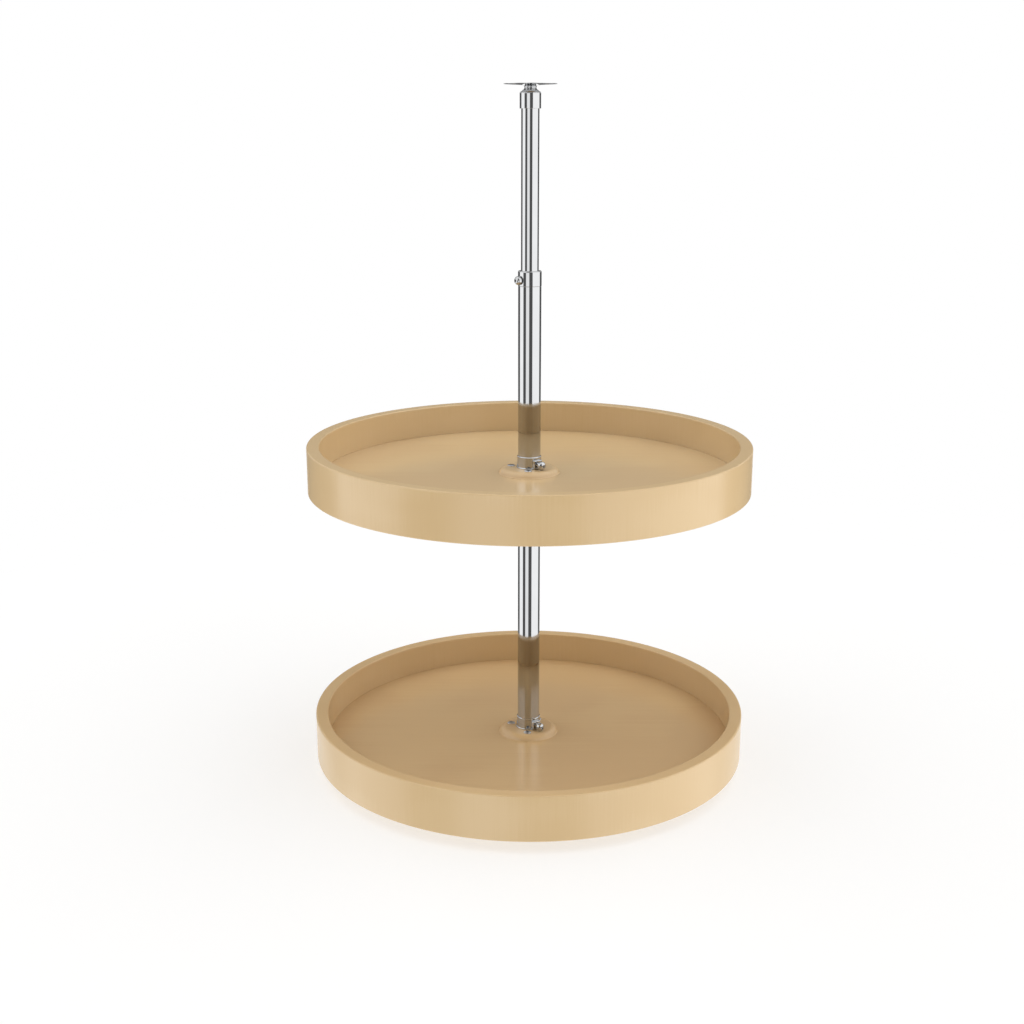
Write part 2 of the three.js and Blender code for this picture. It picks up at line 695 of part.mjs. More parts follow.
// The sleeve that slides on the post, with the boss for its clamp screw.
function clampSleeve() {
  const footTop = hubDiscTop + SLEEVE_FOOT_HEIGHT;
  const footRadius = sleeveRadius + SLEEVE_FOOT_PROUD;
  const tube = revolve(POST_FACETS, (path) => {
    path.moveTo(sleeveBore, underPlateBottom);
    path.lineTo(sleeveRadius, underPlateBottom);
    path.lineTo(sleeveRadius, hubDiscTop + SEAT_GAP);
    path.lineTo(footRadius, hubDiscTop + SEAT_GAP);
    path.quadraticCurveTo(sleeveRadius, hubDiscTop + SEAT_GAP, sleeveRadius, footTop);
    path.lineTo(sleeveRadius, sleeveTop - SLEEVE_CHAMFER);
    path.lineTo(sleeveRadius - SLEEVE_CHAMFER, sleeveTop);
    path.lineTo(sleeveBore, sleeveTop);
  });
  const halfWidth = SCREW_BOSS_WIDTH / 2 - SCREW_BOSS_CHAMFER;
  const face = screwBossFace - SCREW_BOSS_CHAMFER;
  const plan = new THREE.Shape([
    new THREE.Vector2(0, -halfWidth),
    new THREE.Vector2(face, -halfWidth),
    new THREE.Vector2(face, halfWidth),
    new THREE.Vector2(0, halfWidth),
  ]);
  const block = new THREE.ExtrudeGeometry(plan, {
    depth: SCREW_BOSS_HEIGHT - 2 * SCREW_BOSS_CHAMFER,
    bevelThickness: SCREW_BOSS_CHAMFER,
    bevelSize: SCREW_BOSS_CHAMFER,
    bevelSegments: 1,
  });
  const blockBottom = hubDiscTop + SEAT_GAP + SCREW_BOSS_CHAMFER;
  const boss = toSolid(block).rotate([0, 0, CLAMP_SCREW_DEG]).translate([0, 0, blockBottom]);
  const bore = bar(POST_FACETS, sleeveBore, underPlateBottom - 1, sleeveTop + 1);
  const hole = radialScrewHole(screwBossFace, clampScrewHeight, CLAMP_SCREW_DEG);
  return tube.add(boss).subtract(bore).subtract(hole);
}

// The plate under the panel, with a lobe around each screw, fixed on the sleeve's lower end.
function underPlate() {
  const plan = new THREE.Shape();
  const halfLobe = HUB_SCREW_SPACING_DEG / 2;
  hubScrewAngles.forEach((degrees, index) => {
    const [x, y] = onCircle(HUB_SCREW_CIRCLE_RADIUS, degrees);
    const toPrevious = index === 0 ? 180 - HUB_SCREW_SPACING_DEG : halfLobe;
    const toNext = index === hubScrewAngles.length - 1 ? 180 - HUB_SCREW_SPACING_DEG : halfLobe;
    plan.absarc(
      x,
      y,
      UNDER_PLATE_LOBE_RADIUS,
      THREE.MathUtils.degToRad(degrees - toPrevious),
      THREE.MathUtils.degToRad(degrees + toNext),
    );
  });
  const bore = bar(POST_FACETS, hubBore, underPlateBottom - 1, underPlateTop + 1);
  return drillHubHoles(prism(plan, underPlateBottom, underPlateTop).subtract(bore));
}

// A screw with a low domed head that seats on the hub disc.
function hubScrew() {
  const headBottom = hubDiscTop + SEAT_GAP;
  const draw = (path) => {
    path.moveTo(0, hubScrewEnd);
    path.lineTo(HUB_SCREW_RADIUS, hubScrewEnd);
    path.lineTo(HUB_SCREW_RADIUS, headBottom);
    path.lineTo(HUB_SCREW_HEAD_RADIUS, headBottom);
    path.absellipse(
      0,
      headBottom,
      HUB_SCREW_HEAD_RADIUS,
      HUB_SCREW_HEAD_HEIGHT,
      0,
      Math.PI / 2,
    );
    path.lineTo(0, headBottom + HUB_SCREW_HEAD_HEIGHT);
  };
  return revolve(SMALL_FACETS, draw, EASED_EDGE_STEPS);
}

function hubNut() {
  const body = prism(hexagon(HUB_NUT_ACROSS_FLATS), hubNutBottom, hubNutTop);
  const bore = HUB_SCREW_RADIUS + PRESS_GAP;
  return body.subtract(bar(SMALL_FACETS, bore, hubNutBottom - 1, hubNutTop + 1));
}

function shelf(level, height) {
  const group = new THREE.Group();
  group.position.z = height;
  group.add(
    piece(`${level}_rim`, rim(), wood()),
    piece(`${level}_floor_panel`, floorPanel(), panelWood()),
    piece(`${level}_hub_disc`, hubDisc(), wood()),
    piece(`${level}_clamp_sleeve`, clampSleeve(), chrome()),
    piece(`${level}_under_plate`, underPlate(), zincSteel()),
    radialLockScrew(
      `${level}_clamp_screw`,
      OUTER_TUBE_RADIUS,
      screwBossFace + CLAMP_SCREW_NECK,
      clampScrewHeight,
      CLAMP_SCREW_DEG,
    ),
  );
  hubScrewAngles.forEach((degrees, index) => {
    const [x, y] = onCircle(HUB_SCREW_CIRCLE_RADIUS, degrees);
    const screw = piece(`${level}_hub_screw_${index + 1}`, hubScrew(), chrome());
    const nut = piece(`${level}_hub_nut_${index + 1}`, hubNut(), zincSteel());
    screw.position.set(x, y, 0);
    nut.position.set(x, y, 0);
    group.add(screw, nut);
  });
  return group;
}

// ---------------------------------------------------------------------------------------------
// Assembly
// ---------------------------------------------------------------------------------------------

const carousel = new THREE.Group();
carousel.add(
  ...basePieces(),
  ...postPieces(),
  ...topPieces(),
  shelf('lower', lowerShelfHeight),
  shelf('upper', upperShelfHeight),
);

export default carousel;
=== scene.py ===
"""Two-shelf corner carousel on a telescoping post, dressed to match its photograph.

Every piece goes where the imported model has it. Sizes in the classes are millimetres and meshes
are in metres. Turned pieces are sections revolved about the post's axis. Geometry Nodes make the
bent rims, the screw threads and whatever stands on a circle of holes.
"""

import logging
import math
from abc import ABC, abstractmethod
from collections.abc import Mapping, Sequence
from dataclasses import dataclass, field
from enum import Enum
from typing import Any, ClassVar

import bmesh
import bpy
from mathutils import Matrix, Vector


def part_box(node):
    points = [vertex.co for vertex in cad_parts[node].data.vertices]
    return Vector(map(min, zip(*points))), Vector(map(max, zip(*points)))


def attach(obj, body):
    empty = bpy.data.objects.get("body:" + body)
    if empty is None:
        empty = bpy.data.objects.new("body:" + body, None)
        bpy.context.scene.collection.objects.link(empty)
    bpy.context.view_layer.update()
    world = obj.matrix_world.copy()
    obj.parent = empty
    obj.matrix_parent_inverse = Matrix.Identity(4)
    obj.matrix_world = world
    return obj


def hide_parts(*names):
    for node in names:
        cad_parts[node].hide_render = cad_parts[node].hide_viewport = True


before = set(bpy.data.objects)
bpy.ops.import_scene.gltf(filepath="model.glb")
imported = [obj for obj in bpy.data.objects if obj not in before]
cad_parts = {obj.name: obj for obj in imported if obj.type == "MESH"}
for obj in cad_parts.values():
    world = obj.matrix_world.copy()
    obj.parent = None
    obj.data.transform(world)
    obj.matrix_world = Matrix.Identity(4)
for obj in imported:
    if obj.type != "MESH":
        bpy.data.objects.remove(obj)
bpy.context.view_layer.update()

Tree = bpy.types.NodeTree
Node = bpy.types.Node
Socket = bpy.types.NodeSocket
Piece = bpy.types.Object
Colour = tuple[float, float, float, float]
Spot = tuple[float, float]

MM = 0.001
SHARP_EDGE_DEG = 38.0
# How far a cutting tool reaches past what it cuts, in millimetres.
CUT_PAST = 1.0
# A thread's depth as a share of its pitch.
THREAD_DEPTH = 0.61
# Faces round the large turned pieces, and round a drill.
FINE_FACETS = 128
DRILL_FACETS = 40
# Noise seldom leaves this part of its range, so a pattern runs from end to end inside it.
NOISE_MIDDLE = {"From Min": 0.3, "From Max": 0.7}
SMOOTH_STEP = {"interpolation_type": "SMOOTHSTEP"}
log = logging.getLogger("carousel")


# Nodes
# -----


def add_node(
    tree: Tree,
    kind: str,
    settings: Mapping[str, Any] | None = None,
    inputs: Mapping[str | int, Any] | None = None,
) -> Node:
    """Adds a node to a tree.

    Args:
        tree: The shader or geometry tree.
        kind: The node's type.
        settings: The node's own properties.
        inputs: For each input, by name or index, a value or the output that feeds it.

    Returns:
        The new node.
    """
    node = tree.nodes.new(kind)
    for name, value in (settings or {}).items():
        setattr(node, name, value)
    for key, value in (inputs or {}).items():
        if isinstance(value, Socket):
            tree.links.new(value, node.inputs[key])
        else:
            node.inputs[key].default_value = value
    return node


def linear(hex_colour: str) -> Colour:
    """Turns an sRGB colour into the linear one that a shader takes.

    Args:
        hex_colour: The colour, as #RRGGBB.

    Returns:
        The linear colour, opaque.
    """

    def channel(value: float) -> float:
        """Undoes the sRGB curve."""
        return value / 12.92 if value <= 0.04045 else ((value + 0.055) / 1.055) ** 2.4

    digits = hex_colour.lstrip("#")
    red, green, blue = (channel(int(digits[i : i + 2], 16) / 255) for i in (0, 2, 4))
    return (red, green, blue, 1.0)


# Finishes
# --------


@dataclass(frozen=True)
class Finish(ABC):
    """A finish of the real object.

    Attributes:
        name: The material's name.
        slot: The record's material slot that it stands for. Not used.
    """

    name: str
    slot: str

    def material(self) -> bpy.types.Material:
        """Makes the finish's material, once.

        Returns:
            The material.
        """
        known = bpy.data.materials.get(self.name)
        if known:
            return known
        material = bpy.data.materials.new(self.name)
        material.use_nodes = True
        tree = material.node_tree
        tree.nodes.clear()
        shader = add_node(tree, "ShaderNodeBsdfPrincipled")
        add_node(tree, "ShaderNodeOutputMaterial", inputs={"Surface": shader.outputs["BSDF"]})
        self.dress(tree, shader)
        return material

    @abstractmethod
    def dress(self, tree: Tree, shader: Node) -> None:
        """Sets the shader up and feeds it its patterns.

        Args:
            tree: The material's tree.
            shader: Its shader.
        """

    @staticmethod
    def pattern(tree: Tree, size: tuple[float, float, float], detail: float) -> Socket:
        """Adds noise in the object's own coordinates.

        Args:
            tree: The material's tree.
            size: The pattern's size along X, Y and Z, in millimetres.
            detail: How many finer layers it has.

        Returns:
            The noise, from 0 to 1.
        """
        place_on = add_node(tree, "ShaderNodeTexCoord").outputs["Object"]
        scale = tuple(1 / (length * MM) for length in size)
        scaled = add_node(tree, "ShaderNodeMapping", inputs={"Vector": place_on, "Scale": scale})
        noise = add_node(
            tree,
            "ShaderNodeTexNoise",
            inputs={"Vector": scaled.outputs["Vector"], "Scale": 1.0, "Detail": detail},
        )
        return noise.outputs["Fac"]

    @staticmethod
    def cover(
        tree: Tree,
        shader: Node,
        tone: tuple[Socket, str, str],
        haze: tuple[Socket, float, float],
        relief: tuple[Socket, float, float],
    ) -> None:
        """Feeds the shader its colour, roughness and bump.

        Args:
            tree: The material's tree.
            shader: Its shader.
            tone: A pattern, and the sRGB colours that it runs between.
            haze: A pattern, and the roughnesses that it runs between.
            relief: A pattern, the strength of its bump and its depth in millimetres.
        """
        share, roughness = (
            add_node(
                tree,
                "ShaderNodeMapRange",
                SMOOTH_STEP,
                {"Value": amount, **NOISE_MIDDLE, "To Min": low, "To Max": high},
            ).outputs["Result"]
            for amount, low, high in ((tone[0], 0.0, 1.0), haze)
        )
        colour = add_node(
            tree,
            "ShaderNodeMix",
            {"data_type": "RGBA"},
            {"Factor": share, "A": linear(tone[1]), "B": linear(tone[2])},
        )
        bump = add_node(
            tree,
            "ShaderNodeBump",
            inputs={"Height": relief[0], "Strength": relief[1], "Distance": relief[2] * MM},
        )
        tree.links.new(colour.outputs["Result"], shader.inputs["Base Color"])
        tree.links.new(roughness, shader.inputs["Roughness"])
        tree.links.new(bump.outputs["Normal"], shader.inputs["Normal"])


@dataclass(frozen=True)
class LacqueredMaple(Finish):
    """Maple under a sprayed satin lacquer.

    The wood is pale and close-grained, so from a step away it is an even honey colour with faint
    streaks along its grain. The lacquer gives it a soft, wide sheen.

    Attributes:
        pale: Colour between the streaks.
        deep: Colour of the streaks.
        grain: Size of a streak along X, Y and Z, in millimetres.
        roughness: Middle roughness of the lacquer.
        roughness_drift: How far it strays from that.
        streak_share: How much of the tone the streaks give; the slow drift gives the rest.
        drift: Size of the slow drift, in millimetres.
        pores: Strength and depth of the grain's bump, the depth in millimetres.
        ior: Index of refraction of the lacquer.
    """

    pale: str
    deep: str
    grain: tuple[float, float, float]
    roughness: float
    roughness_drift: float = 0.03
    streak_share: float = 0.55
    drift: tuple[float, float, float] = (130.0, 130.0, 60.0)
    pores: tuple[float, float] = (0.25, 0.03)
    ior: float = 1.5

    def dress(self, tree: Tree, shader: Node) -> None:
        """Sets streaks in a slow drift of tone under the lacquer.

        Args:
            tree: The material's tree.
            shader: Its shader.
        """
        streaks = self.pattern(tree, self.grain, 3.0)
        drift = self.pattern(tree, self.drift, 1.0)
        slow = add_node(
            tree,
            "ShaderNodeMapRange",
            SMOOTH_STEP,
            {"Value": drift, **NOISE_MIDDLE, "To Min": 0.0, "To Max": 1 - self.streak_share},
        )
        tone = add_node(
            tree,
            "ShaderNodeMath",
            {"operation": "MULTIPLY_ADD"},
            {0: streaks, 1: self.streak_share, 2: slow.outputs["Result"]},
        )
        low, high = self.roughness - self.roughness_drift, self.roughness + self.roughness_drift
        self.cover(
            tree,
            shader,
            (tone.outputs[0], self.pale, self.deep),
            (drift, low, high),
            (streaks, *self.pores),
        )
        shader.inputs["IOR"].default_value = self.ior


@dataclass(frozen=True)
class PlatedMetal(Finish):
    """Steel under a plated layer.

    Bright chrome over a polished tube is a mirror with a trace of haze where it was buffed, and
    its surface swells a little where the polishing belt dwelt. Zinc over a stamped or rolled
    piece is duller and patchy, with the fine grain of the sheet under it.

    Attributes:
        bright: Colour of the clear patches.
        dull: Colour of the hazy patches.
        clear: Roughness of the clear patches.
        hazy: Roughness of the hazy patches.
        patch: Size of a patch across the axis, in millimetres.
        wave: Size of the surface's waves along X, Y and Z, in millimetres.
        wave_depth: Their depth, in millimetres.
        patch_stretch: How much longer a patch is along the axis.
    """

    bright: str
    dull: str
    clear: float
    hazy: float
    patch: float
    wave: tuple[float, float, float]
    wave_depth: float
    patch_stretch: float = 1.6

    def dress(self, tree: Tree, shader: Node) -> None:
        """Sets haze in patches, over the surface's waves.

        Args:
            tree: The material's tree.
            shader: Its shader.
        """
        size = (self.patch, self.patch, self.patch * self.patch_stretch)
        haze = self.pattern(tree, size, 3.0)
        waves = self.pattern(tree, self.wave, 0.0)
        self.cover(
            tree,
            shader,
            (haze, self.bright, self.dull),
            (haze, self.clear, self.hazy),
            (waves, 1.0, self.wave_depth),
        )
        shader.inputs["Metallic"].default_value = 1.0


@dataclass(frozen=True)
class MouldedNylon(Finish):
    """Natural nylon, injection moulded and then run in.

    It is milky, lets a little light in, and has a fine spark-eroded grain.

    Attributes:
        milky: Main colour.
        yellowed: Colour of the thicker, older-looking patches.
        patch: Size of a patch, in millimetres.
        grain: Size of the mould's grain, in millimetres.
        roughness: Roughness at the grain's low and high ends.
        grain_bump: Strength and depth of the grain, the depth in millimetres.
        ior: Index of refraction of nylon.
        milkiness: How much of the light goes in.
        light_reach: How far its red, green and blue go, in millimetres.
    """

    milky: str
    yellowed: str
    patch: float = 14.0
    grain: float = 0.35
    roughness: tuple[float, float] = (0.4, 0.5)
    grain_bump: tuple[float, float] = (0.3, 0.02)
    ior: float = 1.53
    milkiness: float = 0.15
    light_reach: tuple[float, float, float] = (1.2, 1.0, 0.8)

    def dress(self, tree: Tree, shader: Node) -> None:
        """Sets a soft drift of tone over the mould's fine grain.

        Args:
            tree: The material's tree.
            shader: Its shader.
        """
        drift = self.pattern(tree, (self.patch,) * 3, 2.0)
        grain = self.pattern(tree, (self.grain,) * 3, 1.0)
        self.cover(
            tree,
            shader,
            (drift, self.milky, self.yellowed),
            (grain, *self.roughness),
            (grain, *self.grain_bump),
        )
        shader.inputs["IOR"].default_value = self.ior
        shader.inputs["Subsurface Weight"].default_value = self.milkiness
        reach = tuple(length * MM for length in self.light_reach)
        shader.inputs["Subsurface Radius"].default_value = reach
        shader.inputs["Subsurface Scale"].default_value = 1.0


# Maple bent round: its streaks run up the rim, as the photograph shows them.
RIM_MAPLE = LacqueredMaple(
    "lacquered_maple_rim",
    "rim_wood",
    pale="#D2B68A",
    deep="#CFB285",
    grain=(1.6, 1.6, 60.0),
    roughness=0.24,
)
# Maple turned on a lathe: the grain lies flat, so it shows across the disc's slope.
DISC_MAPLE = LacqueredMaple(
    "lacquered_maple_disc",
    "panel_wood",
    pale="#D1B589",
    deep="#CDAF84",
    grain=(40.0, 2.0, 2.0),
    roughness=0.24,
)
# Sliced maple on a panel: long flat streaks under a slightly glossier coat.
PANEL_MAPLE = LacqueredMaple(
    "lacquered_maple_panel",
    "panel_wood",
    pale="#D1B589",
    deep="#CDB085",
    grain=(160.0, 3.5, 3.5),
    roughness=0.2,
)
# Polished tube under bright chrome: a mirror that shows the room as upright stripes.
BRIGHT_CHROME = PlatedMetal(
    "bright_chrome_plate",
    "chrome",
    bright="#B7B8B9",
    dull="#B4B5B6",
    clear=0.02,
    hazy=0.05,
    patch=18.0,
    wave=(14.0, 14.0, 40.0),
    wave_depth=0.0006,
)
# Screws plated as they come from the header, without polishing: soft pale highlights.
SATIN_CHROME = PlatedMetal(
    "satin_chrome_plate",
    "chrome",
    bright="#CBCCCE",
    dull="#C2C3C6",
    clear=0.29,
    hazy=0.36,
    patch=3.0,
    wave=(1.5, 1.5, 1.5),
    wave_depth=0.002,
)
# Stamped or rolled steel under zinc: grey, dull and a little patchy.
ZINC_PLATE = PlatedMetal(
    "zinc_plated_steel",
    "zinc_steel",
    bright="#C3C6C9",
    dull="#A9ACB0",
    clear=0.3,
    hazy=0.42,
    patch=5.0,
    wave=(0.8, 0.8, 0.8),
    wave_depth=0.004,
)
# Natural nylon, moulded: milky white with a soft satin grain.
NYLON = MouldedNylon("moulded_nylon", "nylon", milky="#ECEAE3", yellowed="#E4E0D3")


# Sections
# --------


class Edge(float, Enum):
    """How far a section's corner is eased, in millimetres."""

    SHARP = 0.0
    HAIRLINE = 0.05
    TIGHT = 0.1
    LIGHT = 0.15
    BROKEN = 0.2
    FIRM = 0.25
    EASED = 0.3
    FULL = 0.35
    SOFT = 0.4
    ROUND = 0.8


@dataclass(frozen=True)
class Corner:
    """A corner of a turned piece's section.

    Attributes:
        radius: Distance from the axis, in millimetres.
        height: Height, in millimetres.
        ease: How far from the corner its rounding starts, along both edges.
    """

    radius: float
    height: float
    ease: float = Edge.LIGHT


def arc(centre: Spot, radii: Spot, start_deg: float, end_deg: float, steps: int) -> list[Corner]:
    """Draws part of an ellipse in a section.

    Args:
        centre: Its centre, as radius and height.
        radii: Its half widths along the radius and the height.
        start_deg: Angle of the first point, from the outward direction.
        end_deg: Angle of the last point.
        steps: Number of chords.

    Returns:
        Points with no rounding of their own.
    """
    corners = []
    for step in range(steps + 1):
        angle = math.radians(start_deg + (end_deg - start_deg) * step / steps)
        radius = max(0.0, centre[0] + radii[0] * math.cos(angle))
        corners.append(Corner(radius, centre[1] + radii[1] * math.sin(angle), Edge.SHARP))
    return corners


def rod(radius: float, low: float, high: float) -> list[Corner]:
    """Returns a plain rod's section, from the height of its lower end to its upper end's."""
    return [
        Corner(0.0, low),
        Corner(radius, low, Edge.SHARP),
        Corner(radius, high, Edge.SHARP),
        Corner(0.0, high),
    ]


def pipe(bore: float, radius: float, low: float, high: float, ease: float) -> list[Corner]:
    """Returns a pipe's section, its outer edges eased and the edges of its bore broken."""
    return [
        Corner(bore, low, Edge.BROKEN),
        Corner(radius, low, ease),
        Corner(radius, high, ease),
        Corner(bore, high, Edge.BROKEN),
    ]


def rounded_section(corners: Sequence[Corner], steps: int = 5) -> list[Vector]:
    """Rounds a closed section's corners.

    A support point beside each rounding keeps the shading of the flats flat.

    Args:
        corners: The section's corners, anticlockwise.
        steps: Chords in each rounding.

    Returns:
        The section's points, as radius and height in millimetres.
    """
    most_of_an_edge = 0.42
    support_share = 0.35
    places = [Vector((corner.radius, corner.height)) for corner in corners]
    points: list[Vector] = []
    for index, corner in enumerate(corners):
        here = places[index]
        back = places[index - 1] - here
        ahead = places[(index + 1) % len(places)] - here
        if corner.ease == 0 or corner.radius == 0:
            points.append(here)
            continue
        room = most_of_an_edge * min(back.length, ahead.length)
        ease = min(float(corner.ease), room)
        support = support_share * ease
        back.normalize()
        ahead.normalize()
        half = back.angle(ahead) / 2
        centre = here + (back + ahead).normalized() * ease / math.cos(half)
        arm = here + back * ease - centre
        turn = arm.angle_signed(here + ahead * ease - centre)
        points.append(here + back * (ease + support))
        for step in range(steps + 1):
            points.append(centre + Matrix.Rotation(-turn * step / steps, 2) @ arm)
        points.append(here + ahead * (ease + support))
    return points


def toward(degrees: float) -> Vector:
    """Returns the direction at an angle, as X and Y."""
    return Vector((math.cos(math.radians(degrees)), math.sin(math.radians(degrees))))


def hexagon(across_flats: float) -> list[Spot]:
    """Draws a hexagon round the origin.

    Args:
        across_flats: Its width across its flats, in millimetres.

    Returns:
        Its corners, anticlockwise.
    """
    reach = across_flats / math.sqrt(3)
    angles = (step * math.pi / 3 for step in range(6))
    return [(reach * math.cos(angle), reach * math.sin(angle)) for angle in angles]


# Shapes
# ------


def new_object(name: str, mesh: bpy.types.Mesh) -> Piece:
    """Puts a mesh in the scene as an object at the origin.

    Args:
        name: The object's name.
        mesh: The mesh, in metres.

    Returns:
        The object.
    """
    thing = bpy.data.objects.new(name, mesh)
    bpy.context.scene.collection.objects.link(thing)
    return thing


def drawn(
    name: str,
    points: Sequence[Sequence[float]],
    faces: Sequence[Sequence[int]] = (),
    edges: Sequence[Sequence[int]] = (),
) -> Piece:
    """Makes an object from points that are listed out.

    Args:
        name: The object's name.
        points: Its points, in millimetres.
        faces: The points of each face.
        edges: The points of each edge that has no face.

    Returns:
        The object.
    """
    mesh = bpy.data.meshes.new(name)
    mesh.from_pydata([[side * MM for side in point] for point in points], edges, faces)
    mesh.validate()
    return new_object(name, mesh)


def turned(name: str, corners: Sequence[Corner], facets: int = FINE_FACETS) -> Piece:
    """Revolves a section about the Z axis.

    Args:
        name: The object's name.
        corners: The section, anticlockwise. It may start and end on the axis.
        facets: Faces around the circle.

    Returns:
        A closed object, its faces pointing out.
    """
    on_axis = 1e-6
    points: list[tuple[float, float, float]] = []
    rings: list[list[int]] = []
    for radius, height in rounded_section(corners):
        first = len(points)
        if radius < on_axis:
            points.append((0.0, 0.0, height))
            rings.append([first] * facets)
            continue
        for step in range(facets):
            angle = 2 * math.pi * step / facets
            points.append((radius * math.cos(angle), radius * math.sin(angle), height))
        rings.append(list(range(first, first + facets)))
    faces = []
    for lower, upper in zip(rings, rings[1:] + rings[:1]):
        for step in range(facets):
            after = (step + 1) % facets
            loop = (lower[step], lower[after], upper[after], upper[step])
            face = list(dict.fromkeys(loop))
            if len(face) > 2:
                faces.append(face)
    return drawn(name, points, faces)


def prism(name: str, outline: Sequence[Spot], low: float, high: float) -> Piece:
    """Raises an outline into a prism.

    Args:
        name: The object's name.
        outline: Its corners, anticlockwise from above, in millimetres.
        low: Height of its underside.
        high: Height of its top.

    Returns:
        The object.
    """
    count = len(outline)
    points = [(x, y, z) for z in (low, high) for x, y in outline]
    faces = [list(reversed(range(count))), list(range(count, 2 * count))]
    for step in range(count):
        after = (step + 1) % count
        faces.append([step, after, after + count, step + count])
    return drawn(name, points, faces)


def block(name: str, low: Sequence[float], high: Sequence[float], ease: float) -> Piece:
    """Makes a block with rounded edges.

    Args:
        name: The object's name.
        low: Its lowest corner, in millimetres.
        high: Its highest corner.
        ease: Radius of its edges.

    Returns:
        The object.
    """
    shape = bmesh.new()
    bmesh.ops.create_cube(shape, size=1.0)
    size = Vector(high) - Vector(low)
    middle = (Vector(high) + Vector(low)) / 2
    for vertex in shape.verts:
        vertex.co = (vertex.co * size + middle) * MM
    if ease:
        bmesh.ops.bevel(
            shape, geom=shape.edges[:], offset=ease * MM, segments=4, profile=0.5, affect="EDGES"
        )
    mesh = bpy.data.meshes.new(name)
    shape.to_mesh(mesh)
    shape.free()
    return new_object(name, mesh)


# Moves, cuts and joins
# ---------------------


class Join(Enum):
    """How two shapes are put together."""

    ADD = "UNION"
    CUT = "DIFFERENCE"
    KEEP_COMMON = "INTERSECT"


def settle(thing: Piece) -> None:
    """Turns an object's modifiers into its plain mesh.

    Args:
        thing: The object.
    """
    bpy.context.view_layer.update()
    depsgraph = bpy.context.evaluated_depsgraph_get()
    mesh = bpy.data.meshes.new_from_object(thing.evaluated_get(depsgraph))
    thing.modifiers.clear()
    old = thing.data
    thing.data = mesh
    bpy.data.meshes.remove(old)
    mesh.name = thing.name


def combine(thing: Piece, tool: Piece, how: Join) -> None:
    """Puts two shapes together and uses the second one up.

    Args:
        thing: The object that stays.
        tool: The object that is added, cut away or kept in common.
        how: Which of these.
    """
    modifier = thing.modifiers.new("combine", "BOOLEAN")
    modifier.operation = how.value
    modifier.solver = "EXACT"
    modifier.object = tool
    settle(thing)
    tool_mesh = tool.data
    bpy.data.objects.remove(tool)
    bpy.data.meshes.remove(tool_mesh)


def move_mesh(thing: Piece, move: Matrix) -> None:
    """Moves an object's mesh, so that the object stays at the origin."""
    thing.data.transform(move)
    thing.data.update()


def shift(z: float) -> Matrix:
    """Returns a lift given in millimetres."""
    return Matrix.Translation(Vector((0.0, 0.0, z)) * MM)


def turn(degrees: float) -> Matrix:
    """Returns a turn about the post's axis."""
    return Matrix.Rotation(math.radians(degrees), 4, "Z")


def radial(height: float, degrees: float) -> Matrix:
    """Returns the move that lays what stands on +Z along a radius of the post."""
    return shift(height) @ turn(degrees) @ Matrix.Rotation(math.pi / 2, 4, "Y")


def bore_out(
    thing: Piece, tool: Sequence[Corner], facets: int, move: Matrix | None = None
) -> None:
    """Cuts a turned tool's shape out of an object.

    Args:
        thing: The object.
        tool: The tool's section.
        facets: Faces round the tool.
        move: Where the tool goes, if it doesn't stand on the Z axis.
    """
    cutter = turned("cutter", tool, facets)
    if move is not None:
        move_mesh(cutter, move)
    combine(thing, cutter, Join.CUT)


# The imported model
# ----------------


def heights(node: str) -> Spot:
    """Returns the heights of a node's lowest and highest points, in millimetres."""
    low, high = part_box(node)
    return low.z / MM, high.z / MM


def place(thing: Piece, finish: Finish, body: str, nodes: Sequence[str]) -> None:
    """Finishes a piece.

    Args:
        thing: The piece, at the origin with its place in its mesh.
        finish: What it is made of.
        body: The body that it rides on.
        nodes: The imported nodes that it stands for.
    """
    mesh = thing.data
    mesh.materials.clear()
    mesh.materials.append(finish.material())
    mesh.shade_smooth()
    mesh.set_sharp_from_angle(angle=math.radians(SHARP_EDGE_DEG))
    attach(thing, body)
    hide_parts(*nodes)
    log.info("%s: %s on %s, %d faces", thing.name, finish.name, body, len(mesh.polygons))


def dress_node(node: str, finish: Finish) -> None:
    """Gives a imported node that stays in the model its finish.

    Args:
        node: The node.
        finish: What it is made of.
    """
    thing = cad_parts[node]
    for material_slot in thing.material_slots:
        material_slot.link = "OBJECT"
        material_slot.material = finish.material()
    log.info("%s: kept, %s", node, finish.name)


# Geometry Nodes trees
# --------------------


